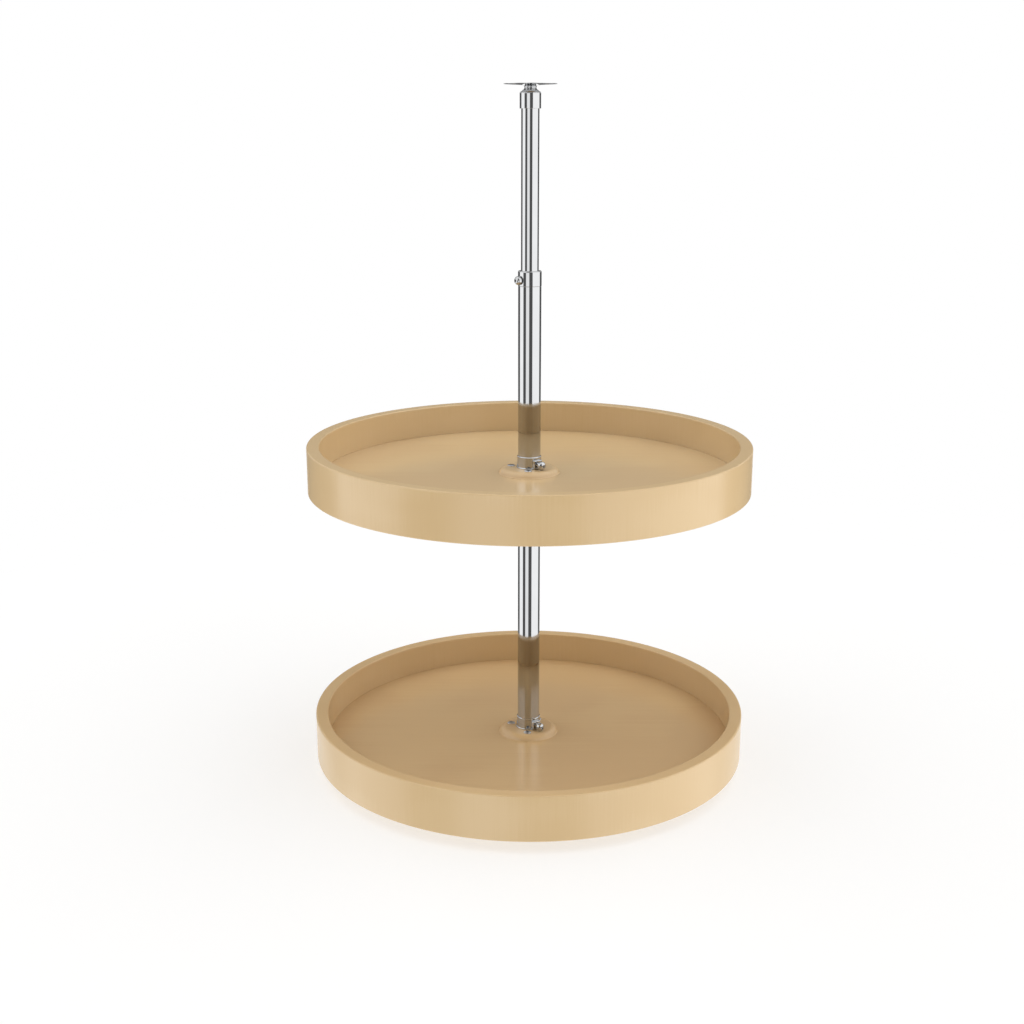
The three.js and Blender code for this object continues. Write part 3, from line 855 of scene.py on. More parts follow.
class SizedTree(ABC):
    """A Geometry Nodes tree with named sizes, ending in Realize Instances and Set Material."""

    title: ClassVar[str]
    sizes: ClassVar[dict[str, str]]

    def __init__(self) -> None:
        """Builds the tree."""
        self.tree = bpy.data.node_groups.new(self.title, "GeometryNodeTree")
        self.tree.is_modifier = True
        interface = self.tree.interface
        given_kinds = {"Geometry": "NodeSocketGeometry", "Finish": "NodeSocketMaterial"}
        for name, kind in (given_kinds | self.sizes).items():
            interface.new_socket(name, in_out="INPUT", socket_type=kind)
        interface.new_socket("Geometry", in_out="OUTPUT", socket_type="NodeSocketGeometry")
        given = add_node(self.tree, "NodeGroupInput").outputs
        shaped = self.shape(given)
        real = add_node(self.tree, "GeometryNodeRealizeInstances", inputs={"Geometry": shaped})
        dressed = add_node(
            self.tree,
            "GeometryNodeSetMaterial",
            inputs={"Geometry": real.outputs["Geometry"], "Material": given["Finish"]},
        )
        add_node(self.tree, "NodeGroupOutput", inputs={0: dressed.outputs["Geometry"]})

    @abstractmethod
    def shape(self, given: Mapping[str, Socket]) -> Socket:
        """Lays out the nodes between the tree's inputs and its last two nodes.

        Args:
            given: The tree's inputs.

        Returns:
            The shape.
        """

    def sweep(self, path: Socket, section: Socket, capped: bool) -> Socket:
        """Sweeps a section along a path, upright all the way.

        Args:
            path: The path's curve.
            section: The section's curve.
            capped: Whether its ends are closed.

        Returns:
            The swept mesh.
        """
        upright = add_node(
            self.tree, "GeometryNodeSetCurveNormal", {"mode": "Z_UP"}, {"Curve": path}
        )
        swept = add_node(
            self.tree,
            "GeometryNodeCurveToMesh",
            inputs={
                "Curve": upright.outputs["Curve"], "Profile Curve": section, "Fill Caps": capped
            },
        )
        return swept.outputs["Mesh"]

    def run(self, thing: Piece, finish: Finish, values: Mapping[str, Any]) -> None:
        """Runs the tree on an object and keeps the result as its plain mesh.

        Args:
            thing: The object.
            finish: What the result is made of.
            values: The tree's sizes, lengths in metres.
        """
        modifier = thing.modifiers.new(self.title, "NODES")
        modifier.node_group = self.tree
        identifiers = {
            item.name: item.identifier
            for item in self.tree.interface.items_tree
            if item.item_type == "SOCKET" and item.in_out == "INPUT"
        }
        modifier[identifiers["Finish"]] = finish.material()
        for name, value in values.items():
            modifier[identifiers[name]] = value
        settle(thing)


class SweptRim(SizedTree):
    """Sweeps a section of edges round a circle, as a rim is bent."""

    title = "swept_rim"
    sizes = {"Bend Radius": "NodeSocketFloat", "Facets": "NodeSocketInt"}

    def shape(self, given: Mapping[str, Socket]) -> Socket:
        """Turns the object's edges into the section of a sweep.

        Args:
            given: The tree's inputs.

        Returns:
            The rim.
        """
        section = add_node(
            self.tree, "GeometryNodeMeshToCurve", inputs={"Mesh": given["Geometry"]}
        )
        bend = add_node(
            self.tree,
            "GeometryNodeCurvePrimitiveCircle",
            inputs={"Resolution": given["Facets"], "Radius": given["Bend Radius"]},
        )
        return self.sweep(bend.outputs["Curve"], section.outputs["Curve"], False)


class ScrewThread(SizedTree):
    """Winds a thread's ridge round the object's shank and joins the two."""

    title = "screw_thread"
    sizes = {
        "Shank Radius": "NodeSocketFloat",
        "Thread Depth": "NodeSocketFloat",
        "Pitch": "NodeSocketFloat",
        "Start": "NodeSocketFloat",
        "Length": "NodeSocketFloat",
    }
    steps_a_turn: ClassVar[int] = 20
    ridge_sides: ClassVar[int] = 4

    def shape(self, given: Mapping[str, Socket]) -> Socket:
        """Sweeps a four-sided ridge along a helix.

        Args:
            given: The tree's inputs.

        Returns:
            The shank with its thread.
        """
        turns = add_node(
            self.tree,
            "ShaderNodeMath",
            {"operation": "DIVIDE"},
            {0: given["Length"], 1: given["Pitch"]},
        )
        helix = add_node(
            self.tree,
            "GeometryNodeCurveSpiral",
            inputs={
                "Resolution": self.steps_a_turn,
                "Rotations": turns.outputs[0],
                "Start Radius": given["Shank Radius"],
                "End Radius": given["Shank Radius"],
                "Height": given["Length"],
            },
        )
        lift = add_node(self.tree, "ShaderNodeCombineXYZ", inputs={"Z": given["Start"]})
        raised = add_node(
            self.tree,
            "GeometryNodeSetPosition",
            inputs={"Geometry": helix.outputs["Curve"], "Offset": lift.outputs["Vector"]},
        )
        ridge = add_node(
            self.tree,
            "GeometryNodeCurvePrimitiveCircle",
            inputs={"Resolution": self.ridge_sides, "Radius": given["Thread Depth"]},
        )
        thread = self.sweep(raised.outputs["Geometry"], ridge.outputs["Curve"], True)
        joined = add_node(self.tree, "GeometryNodeJoinGeometry")
        self.tree.links.new(given["Geometry"], joined.inputs["Geometry"])
        self.tree.links.new(thread, joined.inputs["Geometry"])
        return joined.outputs["Geometry"]


class CirclePattern(SizedTree):
    """Repeats the object's shape on a pitch circle, at a steady step of angle."""

    title = "circle_pattern"
    sizes = {
        "Pitch Radius": "NodeSocketFloat",
        "First Angle": "NodeSocketFloat",
        "Angle Step": "NodeSocketFloat",
        "Count": "NodeSocketInt",
    }

    def shape(self, given: Mapping[str, Socket]) -> Socket:
        """Sets one copy at each point of the circle.

        Args:
            given: The tree's inputs.

        Returns:
            The copies.
        """
        index = add_node(self.tree, "GeometryNodeInputIndex")
        angle = add_node(
            self.tree,
            "ShaderNodeMath",
            {"operation": "MULTIPLY_ADD"},
            {0: index.outputs["Index"], 1: given["Angle Step"], 2: given["First Angle"]},
        )
        sides = {}
        for axis, operation in (("X", "COSINE"), ("Y", "SINE")):
            share = add_node(
                self.tree, "ShaderNodeMath", {"operation": operation}, {0: angle.outputs[0]}
            )
            reach = add_node(
                self.tree,
                "ShaderNodeMath",
                {"operation": "MULTIPLY"},
                {0: share.outputs[0], 1: given["Pitch Radius"]},
            )
            sides[axis] = reach.outputs[0]
        spot = add_node(self.tree, "ShaderNodeCombineXYZ", inputs=sides)
        row = add_node(
            self.tree,
            "GeometryNodeMeshLine",
            inputs={"Count": given["Count"], "Offset": (0.0, 0.0, 0.0)},
        )
        placed = add_node(
            self.tree,
            "GeometryNodeSetPosition",
            inputs={"Geometry": row.outputs["Mesh"], "Position": spot.outputs["Vector"]},
        )
        copies = add_node(
            self.tree,
            "GeometryNodeInstanceOnPoints",
            inputs={"Points": placed.outputs["Geometry"], "Instance": given["Geometry"]},
        )
        return copies.outputs["Instances"]


@dataclass
class Workshop:
    """The trees that several sub-assemblies share."""

    rim: SweptRim = field(default_factory=SweptRim)
    thread: ScrewThread = field(default_factory=ScrewThread)
    circle: CirclePattern = field(default_factory=CirclePattern)

    def repeat(self, thing: Piece, finish: Finish, pitch: float, angles: Sequence[float]) -> None:
        """Repeats what stands on the Z axis on a pitch circle, at evenly stepped angles."""
        values = {
            "Pitch Radius": pitch * MM,
            "First Angle": math.radians(angles[0]),
            "Angle Step": math.radians(angles[1] - angles[0]),
            "Count": len(angles),
        }
        self.circle.run(thing, finish, values)

    def drill(
        self,
        thing: Piece,
        tool: Sequence[Corner],
        finish: Finish,
        pitch: float,
        angles: Sequence[float],
    ) -> None:
        """Drills an object through on a pitch circle.

        Args:
            thing: The object.
            tool: The drill's section, standing on the Z axis.
            finish: What the object is made of.
            pitch: The circle's radius, in millimetres.
            angles: Evenly stepped angles, in degrees.
        """
        drills = turned("drills", tool, DRILL_FACETS)
        self.repeat(drills, finish, pitch, angles)
        combine(thing, drills, Join.CUT)

    def wind(
        self,
        thing: Piece,
        finish: Finish,
        radius: float,
        pitch: float,
        start: float,
        length: float,
    ) -> None:
        """Winds a thread on a shank.

        Args:
            thing: The object with the shank, on the Z axis.
            finish: What it is made of.
            radius: The thread's outer radius, in millimetres.
            pitch: Its pitch.
            start: The height that it starts at.
            length: Its length.
        """
        depth = THREAD_DEPTH * pitch
        values = {
            "Shank Radius": (radius - depth) * MM,
            "Thread Depth": depth * MM,
            "Pitch": pitch * MM,
            "Start": start * MM,
            "Length": length * MM,
        }
        self.thread.run(thing, finish, values)


# Lock screws
# -----------


@dataclass
class LockScrew:
    """A screw that points at the post's axis, with a domed head and a hexagon socket.

    Attributes:
        workshop: The shared trees.
        node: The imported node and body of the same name.
        tip: Radius at which its tip stands.
        seat: Radius at which its head starts.
        height: Height of its axis.
        degrees: Direction of its head.
    """

    workshop: Workshop
    node: str
    tip: float
    seat: float
    height: float
    degrees: float
    shank_radius: float = 2.5
    thread_pitch: float = 0.8
    # Where the thread starts and stops, in pitches from the shank's ends.
    thread_lead: float = 0.7
    thread_runout: float = 0.5
    head_radius: float = 4.9
    head_length: float = 5.8
    head_barrel: float = 2.2
    socket_across_flats: float = 3.0
    socket_depth: float = 2.6
    facets: int = 64

    def build(self) -> None:
        """Turns the screw on the Z axis, winds its thread and lays it on its radius."""
        pitch = self.thread_pitch
        core = self.shank_radius - THREAD_DEPTH * pitch
        length = self.seat - self.tip
        dome = self.head_length - self.head_barrel
        top = length + self.head_length
        corners = [
            Corner(0.0, 0.0),
            Corner(core, 0.0, Edge.SOFT),
            Corner(core, length, Edge.SHARP),
            Corner(self.head_radius, length, Edge.FULL),
            *arc((0.0, top - dome), (self.head_radius, dome), 0.0, 90.0, 14),
        ]
        screw = turned(self.node + "_fine", corners, self.facets)
        outline = hexagon(self.socket_across_flats)
        socket = prism("socket", outline, top - self.socket_depth, top + CUT_PAST)
        combine(screw, socket, Join.CUT)
        start = self.thread_lead * pitch
        run = length - start - self.thread_runout * pitch
        self.workshop.wind(screw, BRIGHT_CHROME, self.shank_radius, pitch, start, run)
        move_mesh(screw, radial(self.height, self.degrees) @ shift(self.tip))
        place(screw, BRIGHT_CHROME, self.node, [self.node])


# Base
# ----


@dataclass
class Base:
    """The plate on the cabinet's floor, its pivot stud and the washer that the post turns on."""

    workshop: Workshop
    radius: float = 32.0
    thickness: float = 3.0
    edge_round: float = 1.0
    boss_radius: float = 13.0
    boss_slope: float = 3.0
    boss_height: float = 2.0
    stud_seat: float = 4.1
    recess_radius: float = 7.1
    recess_top: float = 2.2
    washer_bore: float = 4.15
    washer_radius: float = 12.5
    washer_low: float = 5.1
    washer_high: float = 6.6
    washer_facets: int = 96
    hole_circle: float = 24.0
    hole_radius: float = 2.2
    countersink_depth: float = 2.2
    hole_angles: tuple[float, ...] = (90.0, 210.0, 330.0)

    def build(self) -> None:
        """Builds the plate and the washer, and dresses the stud."""
        self.plate()
        self.washer()
        dress_node("pivot_stud", ZINC_PLATE)

    def plate(self) -> None:
        """Presses the plate and countersinks its screw holes."""
        top = self.thickness + self.boss_height
        corners = [
            Corner(self.recess_radius, 0.0, Edge.BROKEN),
            Corner(self.radius, 0.0, Edge.EASED),
            Corner(self.radius, self.thickness, self.edge_round),
            Corner(self.boss_radius + self.boss_slope, self.thickness, Edge.ROUND),
            Corner(self.boss_radius, top, Edge.ROUND),
            Corner(self.stud_seat, top, Edge.BROKEN),
            Corner(self.stud_seat, self.recess_top, Edge.TIGHT),
            Corner(self.recess_radius, self.recess_top, Edge.TIGHT),
        ]
        plate = turned("base_plate_fine", corners)
        wide = self.hole_radius + self.countersink_depth
        above = self.thickness + CUT_PAST
        tool = [
            Corner(0.0, -CUT_PAST),
            Corner(self.hole_radius, -CUT_PAST, Edge.SHARP),
            Corner(self.hole_radius, self.thickness - self.countersink_depth, Edge.SHARP),
            Corner(wide, self.thickness, Edge.SHARP),
            Corner(wide + CUT_PAST, above, Edge.SHARP),
            Corner(0.0, above),
        ]
        self.workshop.drill(plate, tool, ZINC_PLATE, self.hole_circle, self.hole_angles)
        place(plate, ZINC_PLATE, "base", ["base_plate"])

    def washer(self) -> None:
        """Turns the washer."""
        corners = pipe(
            self.washer_bore, self.washer_radius, self.washer_low, self.washer_high, Edge.EASED
        )
        washer = turned("thrust_washer_fine", corners, self.washer_facets)
        place(washer, NYLON, "base", ["thrust_washer"])


# Telescoping post
# ----------------


@dataclass
class Post:
    """The outer tube with its foot and collar, and the inner tube with its cap."""

    workshop: Workshop
    outer_radius: float = 13.0
    outer_bore: float = 11.8
    inner_radius: float = 9.9
    inner_bore: float = 8.7
    foot_bore: float = 4.15
    foot_bore_top: float = 33.5
    foot_flange: float = 2.5
    foot_body_radius: float = 11.7
    foot_lead: float = 0.6
    foot_facets: int = 96
    collar_radius: float = 13.2
    collar_bore: float = 10.05
    collar_spigot_radius: float = 11.7
    collar_spigot: float = 8.0
    collar_round: float = 2.0
    lock_below_top: float = 10.3
    lock_hole_radius: float = 2.8
    lock_degrees: float = -147.0
    lock_tip: float = 10.1
    lock_seat: float = 13.6
    cap_radius: float = 11.6
    cap_bore: float = 10.0
    cap_barrel: float = 16.8
    cap_cone: float = 3.9
    cap_web: float = 1.8
    cap_neck_radius: float = 6.6
    cap_pin_hole: float = 4.25
    cap_shoulder_round: float = 0.9
    cap_neck_round: float = 0.5

    def build(self) -> None:
        """Builds the post from its foot to its cap."""
        self.foot()
        self.tube("outer_tube", "post", self.outer_bore, self.outer_radius)
        self.collar()
        self.tube("inner_tube", "inner_post", self.inner_bore, self.inner_radius)
        self.cap()
        for node in ("guide_bush", "inner_guide", "top_bush"):
            dress_node(node, NYLON)

    def foot(self) -> None:
        """Turns the plug that runs on the stud."""
        low, high = heights("foot_plug")
        shoulder = low + self.foot_flange
        corners = [
            Corner(0.0, self.foot_bore_top),
            Corner(self.foot_bore, self.foot_bore_top, Edge.BROKEN),
            Corner(self.foot_bore, low, Edge.EASED),
            Corner(self.outer_radius, low, Edge.SOFT),
            Corner(self.outer_radius, shoulder, Edge.FIRM),
            Corner(self.foot_body_radius, shoulder, Edge.TIGHT),
            Corner(self.foot_body_radius, high, self.foot_lead),
            Corner(0.0, high),
        ]
        foot = turned("foot_plug_fine", corners, self.foot_facets)
        place(foot, NYLON, "post", ["foot_plug"])

    def tube(self, node: str, body: str, bore: float, radius: float) -> None:
        """Draws one of the two tubes, its cut ends broken."""
        tube = turned(node + "_fine", pipe(bore, radius, *heights(node), Edge.FIRM))
        place(tube, BRIGHT_CHROME, body, [node])

    def collar(self) -> None:
        """Turns the collar, drills it for its lock screw and fits the screw."""
        low, high = heights("collar")
        shoulder = low + self.collar_spigot
        corners = [
            Corner(self.collar_bore, low, Edge.BROKEN),
            Corner(self.collar_spigot_radius, low, Edge.EASED),
            Corner(self.collar_spigot_radius, shoulder, Edge.HAIRLINE),
            Corner(self.collar_radius, shoulder, Edge.FIRM),
            Corner(self.collar_radius, high, self.collar_round),
            Corner(self.collar_bore, high, Edge.EASED),
        ]
        collar = turned("collar_fine", corners)
        height = high - self.lock_below_top
        tool = rod(self.lock_hole_radius, 0.0, 2 * self.collar_radius)
        bore_out(collar, tool, DRILL_FACETS, radial(height, self.lock_degrees))
        place(collar, BRIGHT_CHROME, "post", ["collar"])
        LockScrew(
            self.workshop,
            "telescope_lock_screw",
            self.lock_tip,
            self.lock_seat,
            height,
            self.lock_degrees,
        ).build()

    def cap(self) -> None:
        """Turns the cap over the inner tube's end."""
        low, high = heights("top_cap")
        barrel_top = low + self.cap_barrel
        cone_top = barrel_top + self.cap_cone
        web = barrel_top - self.cap_web
        corners = [
            Corner(self.cap_bore, low, Edge.BROKEN),
            Corner(self.cap_radius, low, Edge.FULL),
            Corner(self.cap_radius, barrel_top, self.cap_shoulder_round),
            Corner(self.cap_neck_radius, cone_top, self.cap_neck_round),
            Corner(self.cap_neck_radius, high, Edge.BROKEN),
            Corner(self.cap_pin_hole, high, Edge.BROKEN),
            Corner(self.cap_pin_hole, web, Edge.BROKEN),
            Corner(self.cap_bore, web, Edge.TIGHT),
        ]
        place(turned("top_cap_fine", corners), BRIGHT_CHROME, "inner_post", ["top_cap"])


@dataclass
class TopMount:
    """The flared flange under the cabinet's top, which the post turns beneath."""

    workshop: Workshop
    radius: float = 29.0
    thickness: float = 1.2
    edge_thickness: float = 0.35
    neck_radius: float = 6.6
    flare_radius: float = 12.5
    pin_seat: float = 4.1
    recess_radius: float = 6.1
    hole_circle: float = 21.0
    hole_radius: float = 2.2
    countersink_depth: float = 0.8
    hole_angles: tuple[float, ...] = (90.0, 210.0, 330.0)

    def build(self) -> None:
        """Spins the flange, drills it and dresses its pin."""
        low, high = heights("top_flange")
        under = high - self.thickness
        run = self.flare_radius - self.neck_radius
        flare = arc((self.flare_radius, low), (run, under - low), 180.0, 90.0, 14)
        corners = [
            Corner(self.pin_seat, low),
            Corner(self.neck_radius, low, Edge.SHARP),
            *flare[1:],
            Corner(self.radius, high - self.edge_thickness, Edge.TIGHT),
            Corner(self.radius, high, Edge.TIGHT),
            Corner(self.recess_radius, high),
            Corner(self.recess_radius, under, Edge.TIGHT),
            Corner(self.pin_seat, under, Edge.TIGHT),
        ]
        flange = turned("top_flange_fine", corners)
        wide = self.hole_radius + self.countersink_depth
        tool = [
            Corner(0.0, under - CUT_PAST),
            Corner(wide + CUT_PAST, under - CUT_PAST, Edge.SHARP),
            Corner(wide, under, Edge.SHARP),
            Corner(self.hole_radius, under + self.countersink_depth, Edge.SHARP),
            Corner(self.hole_radius, high + CUT_PAST, Edge.SHARP),
            Corner(0.0, high + CUT_PAST),
        ]
        self.workshop.drill(flange, tool, BRIGHT_CHROME, self.hole_circle, self.hole_angles)
        place(flange, BRIGHT_CHROME, "top_mount", ["top_flange"])
        dress_node("top_pin", ZINC_PLATE)


# Shelf
# -----


class Level(Enum):
    """The two shelves, by the first word of their nodes' names."""

    LOWER = "lower"
    UPPER = "upper"


@dataclass
class Shelf:
    """A tray with the hub that clamps it to the post. Heights are from the rim's underside."""

    workshop: Workshop
    level: Level
    tray_radius: float = 254.0
    rim_thickness: float = 14.5
    rim_height: float = 52.2
    rabbet_depth: float = 6.0
    rabbet_height: float = 15.1
    rim_top_round: float = 1.6
    rim_bottom_round: float = 1.0
    rim_round_steps: int = 7
    rim_facets: int = 288
    disc_base_radius: float = 36.0
    disc_flat_radius: float = 26.0
    disc_cove: float = 1.8
    disc_edge: float = 0.1
    disc_bottom: float = 15.1
    disc_top: float = 21.5
    hub_bore: float = 14.1
    hub_seat: float = 21.6
    sleeve_bore: float = 13.15
    sleeve_radius: float = 14.0
    sleeve_bottom: float = 0.9
    sleeve_top: float = 35.3
    sleeve_chamfer: float = 0.65
    sleeve_foot_proud: float = 0.9
    sleeve_foot_lip: float = 0.35
    sleeve_foot_ease: float = 0.12
    sleeve_foot_height: float = 1.5
    # Just past straight down, so that the foot's curve leaves its lip at an angle.
    sleeve_foot_from: float = 265.0
    boss_width: float = 11.2
    boss_height: float = 10.4
    boss_face: float = 17.0
    boss_round: float = 0.8
    clamp_hole_radius: float = 2.8
    clamp_hole_chamfer: float = 0.4
    clamp_hole_past: float = 0.6
    clamp_hole_facets: int = 48
    clamp_height: float = 26.8
    clamp_degrees: float = -52.0
    clamp_tip: float = 13.2
    clamp_seat: float = 21.4
    plate_low: float = 0.9
    plate_high: float = 2.9
    plate_edge: float = 0.35
    plate_edge_steps: int = 3
    plate_corner_deg: float = 60.0
    plate_bore_facets: int = 96
    lobe_radius: float = 8.0
    lobe_steps: int = 24
    screw_circle: float = 22.0
    screw_angles: tuple[float, ...] = (59.0, 163.0, 267.0)
    screw_radius: float = 2.0
    screw_pitch: float = 0.7
    screw_end: float = -3.4
    screw_lead: float = 0.6
    screw_facets: int = 48
    screw_head_radius: float = 4.5
    screw_head_height: float = 1.2
    screw_head_edge: float = 0.25
    screw_recess_depth: float = 0.9
    screw_recess_reach: float = 2.3
    screw_recess_half_width: float = 0.42
    screw_recess_degrees: tuple[float, ...] = (20.0, 110.0)
    hub_hole_radius: float = 2.3
    hub_hole_low: float = -10.0
    hub_hole_high: float = 40.0
    nut_across_flats: float = 7.0
    nut_low: float = -2.4
    nut_high: float = 0.8
    nut_bore: float = 2.1
    nut_land: float = 0.1
    nut_chamfer_slope: float = 0.5
    nut_facets: int = 72

    def __post_init__(self) -> None:
        """Finds the height of the shelf."""
        self.base = heights(self.node("rim"))[0]

    def node(self, piece: str) -> str:
        """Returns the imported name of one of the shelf's pieces."""
        return f"{self.level.value}_{piece}"

    def build(self) -> None:
        """Builds the tray, its hub and what holds them together."""
        self.rim()
        dress_node(self.node("floor_panel"), PANEL_MAPLE)
        self.hub_disc()
        self.clamp_sleeve()
        self.under_plate()
        self.hub_screws()
        self.hub_nuts()
        LockScrew(
            self.workshop,
            self.node("clamp_screw"),
            self.clamp_tip,
            self.clamp_seat,
            self.base + self.clamp_height,
            self.clamp_degrees,
        ).build()

    def fit(self, thing: Piece, finish: Finish, *pieces: str) -> None:
        """Lifts a piece to the shelf and finishes it for the pieces that it stands for."""
        move_mesh(thing, shift(self.base))
        place(thing, finish, self.node("shelf"), [self.node(piece) for piece in pieces])

    def rim(self) -> None:
        """Bends the rim round, with its eased edges and the step that holds the panel."""
        inner = self.tray_radius - self.rim_thickness
        step = inner + self.rabbet_depth
        corners = [
            Corner(step, 0.0, Edge.SOFT),
            Corner(self.tray_radius, 0.0, self.rim_bottom_round),
            Corner(self.tray_radius, self.rim_height, self.rim_top_round),
            Corner(inner, self.rim_height, self.rim_top_round),
            Corner(inner, self.rabbet_height, Edge.HAIRLINE),
            Corner(step, self.rabbet_height, Edge.TIGHT),
        ]
        section = rounded_section(corners, self.rim_round_steps)
        points = [(radius - self.tray_radius, -height, 0.0) for radius, height in section]
        edges = [(index, (index + 1) % len(points)) for index in range(len(points))]
        rim = drawn(self.node("rim_bent"), points, edges=edges)
        sizes = {"Bend Radius": self.tray_radius * MM, "Facets": self.rim_facets}
        self.workshop.rim.run(rim, RIM_MAPLE, sizes)
        self.fit(rim, RIM_MAPLE, "rim")

    def drill(self, thing: Piece, finish: Finish) -> None:
        """Drills a piece of the hub for the hub screws."""
        tool = rod(self.hub_hole_radius, self.hub_hole_low, self.hub_hole_high)
        self.workshop.drill(thing, tool, finish, self.screw_circle, self.screw_angles)

    def hub_disc(self) -> None:
        """Turns the disc under the sleeve, with its domed edge and coved foot, and drills it."""
        edge = self.disc_bottom + self.disc_edge
        run = self.disc_base_radius - self.disc_flat_radius
        lean = 90.0 - 2 * math.degrees(math.atan2(self.disc_top - edge, run))
        dome = run / math.cos(math.radians(lean)) - self.disc_cove
        cove_centre = (self.disc_base_radius, edge + self.disc_cove)
        dome_centre = (self.disc_flat_radius, self.disc_top - dome)
        corners = [
            Corner(self.hub_bore, self.disc_bottom, Edge.TIGHT),
            Corner(self.disc_base_radius, self.disc_bottom, Edge.SHARP),
            *arc(cove_centre, (self.disc_cove, self.disc_cove), 270.0, 180.0 + lean, 8),
            *arc(dome_centre, (dome, dome), lean, 90.0, 16)[1:],
            Corner(self.hub_bore, self.disc_top, Edge.BROKEN),
        ]
        disc = turned(self.node("hub_disc_turned"), corners)
        self.drill(disc, DISC_MAPLE)
        self.fit(disc, DISC_MAPLE, "hub_disc")

    def clamp_sleeve(self) -> None:
        """Turns the sleeve and joins on the boss that the clamp screw goes through."""
        foot = self.sleeve_radius + self.sleeve_foot_proud
        lip = self.hub_seat + self.sleeve_foot_lip
        foot_centre = (foot, lip + self.sleeve_foot_height)
        foot_radii = (self.sleeve_foot_proud, self.sleeve_foot_height)
        corners = [
            Corner(self.sleeve_bore, self.sleeve_bottom),
            Corner(self.sleeve_radius, self.sleeve_bottom, Edge.BROKEN),
            Corner(self.sleeve_radius, self.hub_seat, Edge.SHARP),
            Corner(foot, self.hub_seat, self.sleeve_foot_ease),
            Corner(foot, lip),
            *arc(foot_centre, foot_radii, self.sleeve_foot_from, 180.0, 8),
            Corner(self.sleeve_radius, self.sleeve_top - self.sleeve_chamfer, Edge.TIGHT),
            Corner(self.sleeve_radius - self.sleeve_chamfer, self.sleeve_top, Edge.TIGHT),
            Corner(self.sleeve_bore, self.sleeve_top, Edge.HAIRLINE),
        ]
        sleeve = turned(self.node("clamp_sleeve_fine"), corners)
        half = self.boss_width / 2
        boss_low = (0.0, -half, self.hub_seat)
        boss_high = (self.boss_face, half, self.hub_seat + self.boss_height)
        boss = block("boss", boss_low, boss_high, self.boss_round)
        move_mesh(boss, turn(self.clamp_degrees))
        combine(sleeve, boss, Join.ADD)
        low, high = self.sleeve_bottom - CUT_PAST, self.sleeve_top + CUT_PAST
        bore_out(sleeve, rod(self.sleeve_bore, low, high), FINE_FACETS)
        hole = self.clamp_hole_radius
        wide = hole + self.clamp_hole_chamfer + self.clamp_hole_past
        beyond = self.boss_face + self.clamp_hole_past
        tool = [
            Corner(0.0, 0.0),
            Corner(hole, 0.0, Edge.SHARP),
            Corner(hole, self.boss_face - self.clamp_hole_chamfer, Edge.SHARP),
            Corner(wide, beyond, Edge.SHARP),
            Corner(0.0, beyond),
        ]
        across = radial(self.clamp_height, self.clamp_degrees)
        bore_out(sleeve, tool, self.clamp_hole_facets, across)
        self.fit(sleeve, BRIGHT_CHROME, "clamp_sleeve")

    def under_plate(self) -> None:
        """Stamps the plate under the panel, with a lobe round each screw."""
        outline: list[Spot] = []
        spread = (self.screw_angles[1] - self.screw_angles[0]) / 2
        wide = 180 - 2 * spread
        for index, degrees in enumerate(self.screw_angles):
            back = wide if index == 0 else spread
            ahead = wide if index == len(self.screw_angles) - 1 else spread
            for step in range(self.lobe_steps + 1):
                angle = degrees - back + (back + ahead) * step / self.lobe_steps
                point = toward(degrees) * self.screw_circle + self.lobe_radius * toward(angle)
                outline.append((point.x, point.y))
        plate = prism(self.node("under_plate_fine"), outline, self.plate_low, self.plate_high)
        bevel = plate.modifiers.new("stamped edge", "BEVEL")
        bevel.width = self.plate_edge * MM
        bevel.segments = self.plate_edge_steps
        bevel.limit_method = "ANGLE"
        bevel.angle_limit = math.radians(self.plate_corner_deg)
        settle(plate)
        low, high = self.plate_low - CUT_PAST, self.plate_high + CUT_PAST
        bore_out(plate, rod(self.hub_bore, low, high), self.plate_bore_facets)
        self.drill(plate, ZINC_PLATE)
        self.fit(plate, ZINC_PLATE, "under_plate")

    def hub_screws(self) -> None:
        """Makes a low-headed screw with a cross recess and sets it in each hole of the hub."""
        core = self.screw_radius - THREAD_DEPTH * self.screw_pitch
        seat = self.hub_seat
        top = seat + self.screw_head_height
        dome = (self.screw_head_radius, self.screw_head_height - self.screw_head_edge)
        corners = [
            Corner(0.0, self.screw_end),
            Corner(core, self.screw_end, Edge.FULL),
            Corner(core, seat, Edge.SHARP),
            Corner(self.screw_head_radius, seat),
            *arc((0.0, seat + self.screw_head_edge), dome, 0.0, 90.0, 12),
        ]
        name = self.node("hub_screws_threaded")
        screws = turned(name, corners, self.screw_facets)
        reach, half = self.screw_recess_reach, self.screw_recess_half_width
        for degrees in self.screw_recess_degrees:
            low, high = top - self.screw_recess_depth, top + CUT_PAST
            blade = block("blade", (-reach, -half, low), (reach, half, high), Edge.SHARP)
            move_mesh(blade, turn(degrees))
            combine(screws, blade, Join.CUT)
        self.workshop.wind(
            screws,
            SATIN_CHROME,
            self.screw_radius,
            self.screw_pitch,
            self.screw_end + self.screw_lead,
            seat - self.screw_end - 2 * self.screw_lead,
        )
        self.workshop.repeat(screws, SATIN_CHROME, self.screw_circle, self.screw_angles)
        self.fit(screws, SATIN_CHROME, "hub_screw_1", "hub_screw_2", "hub_screw_3")

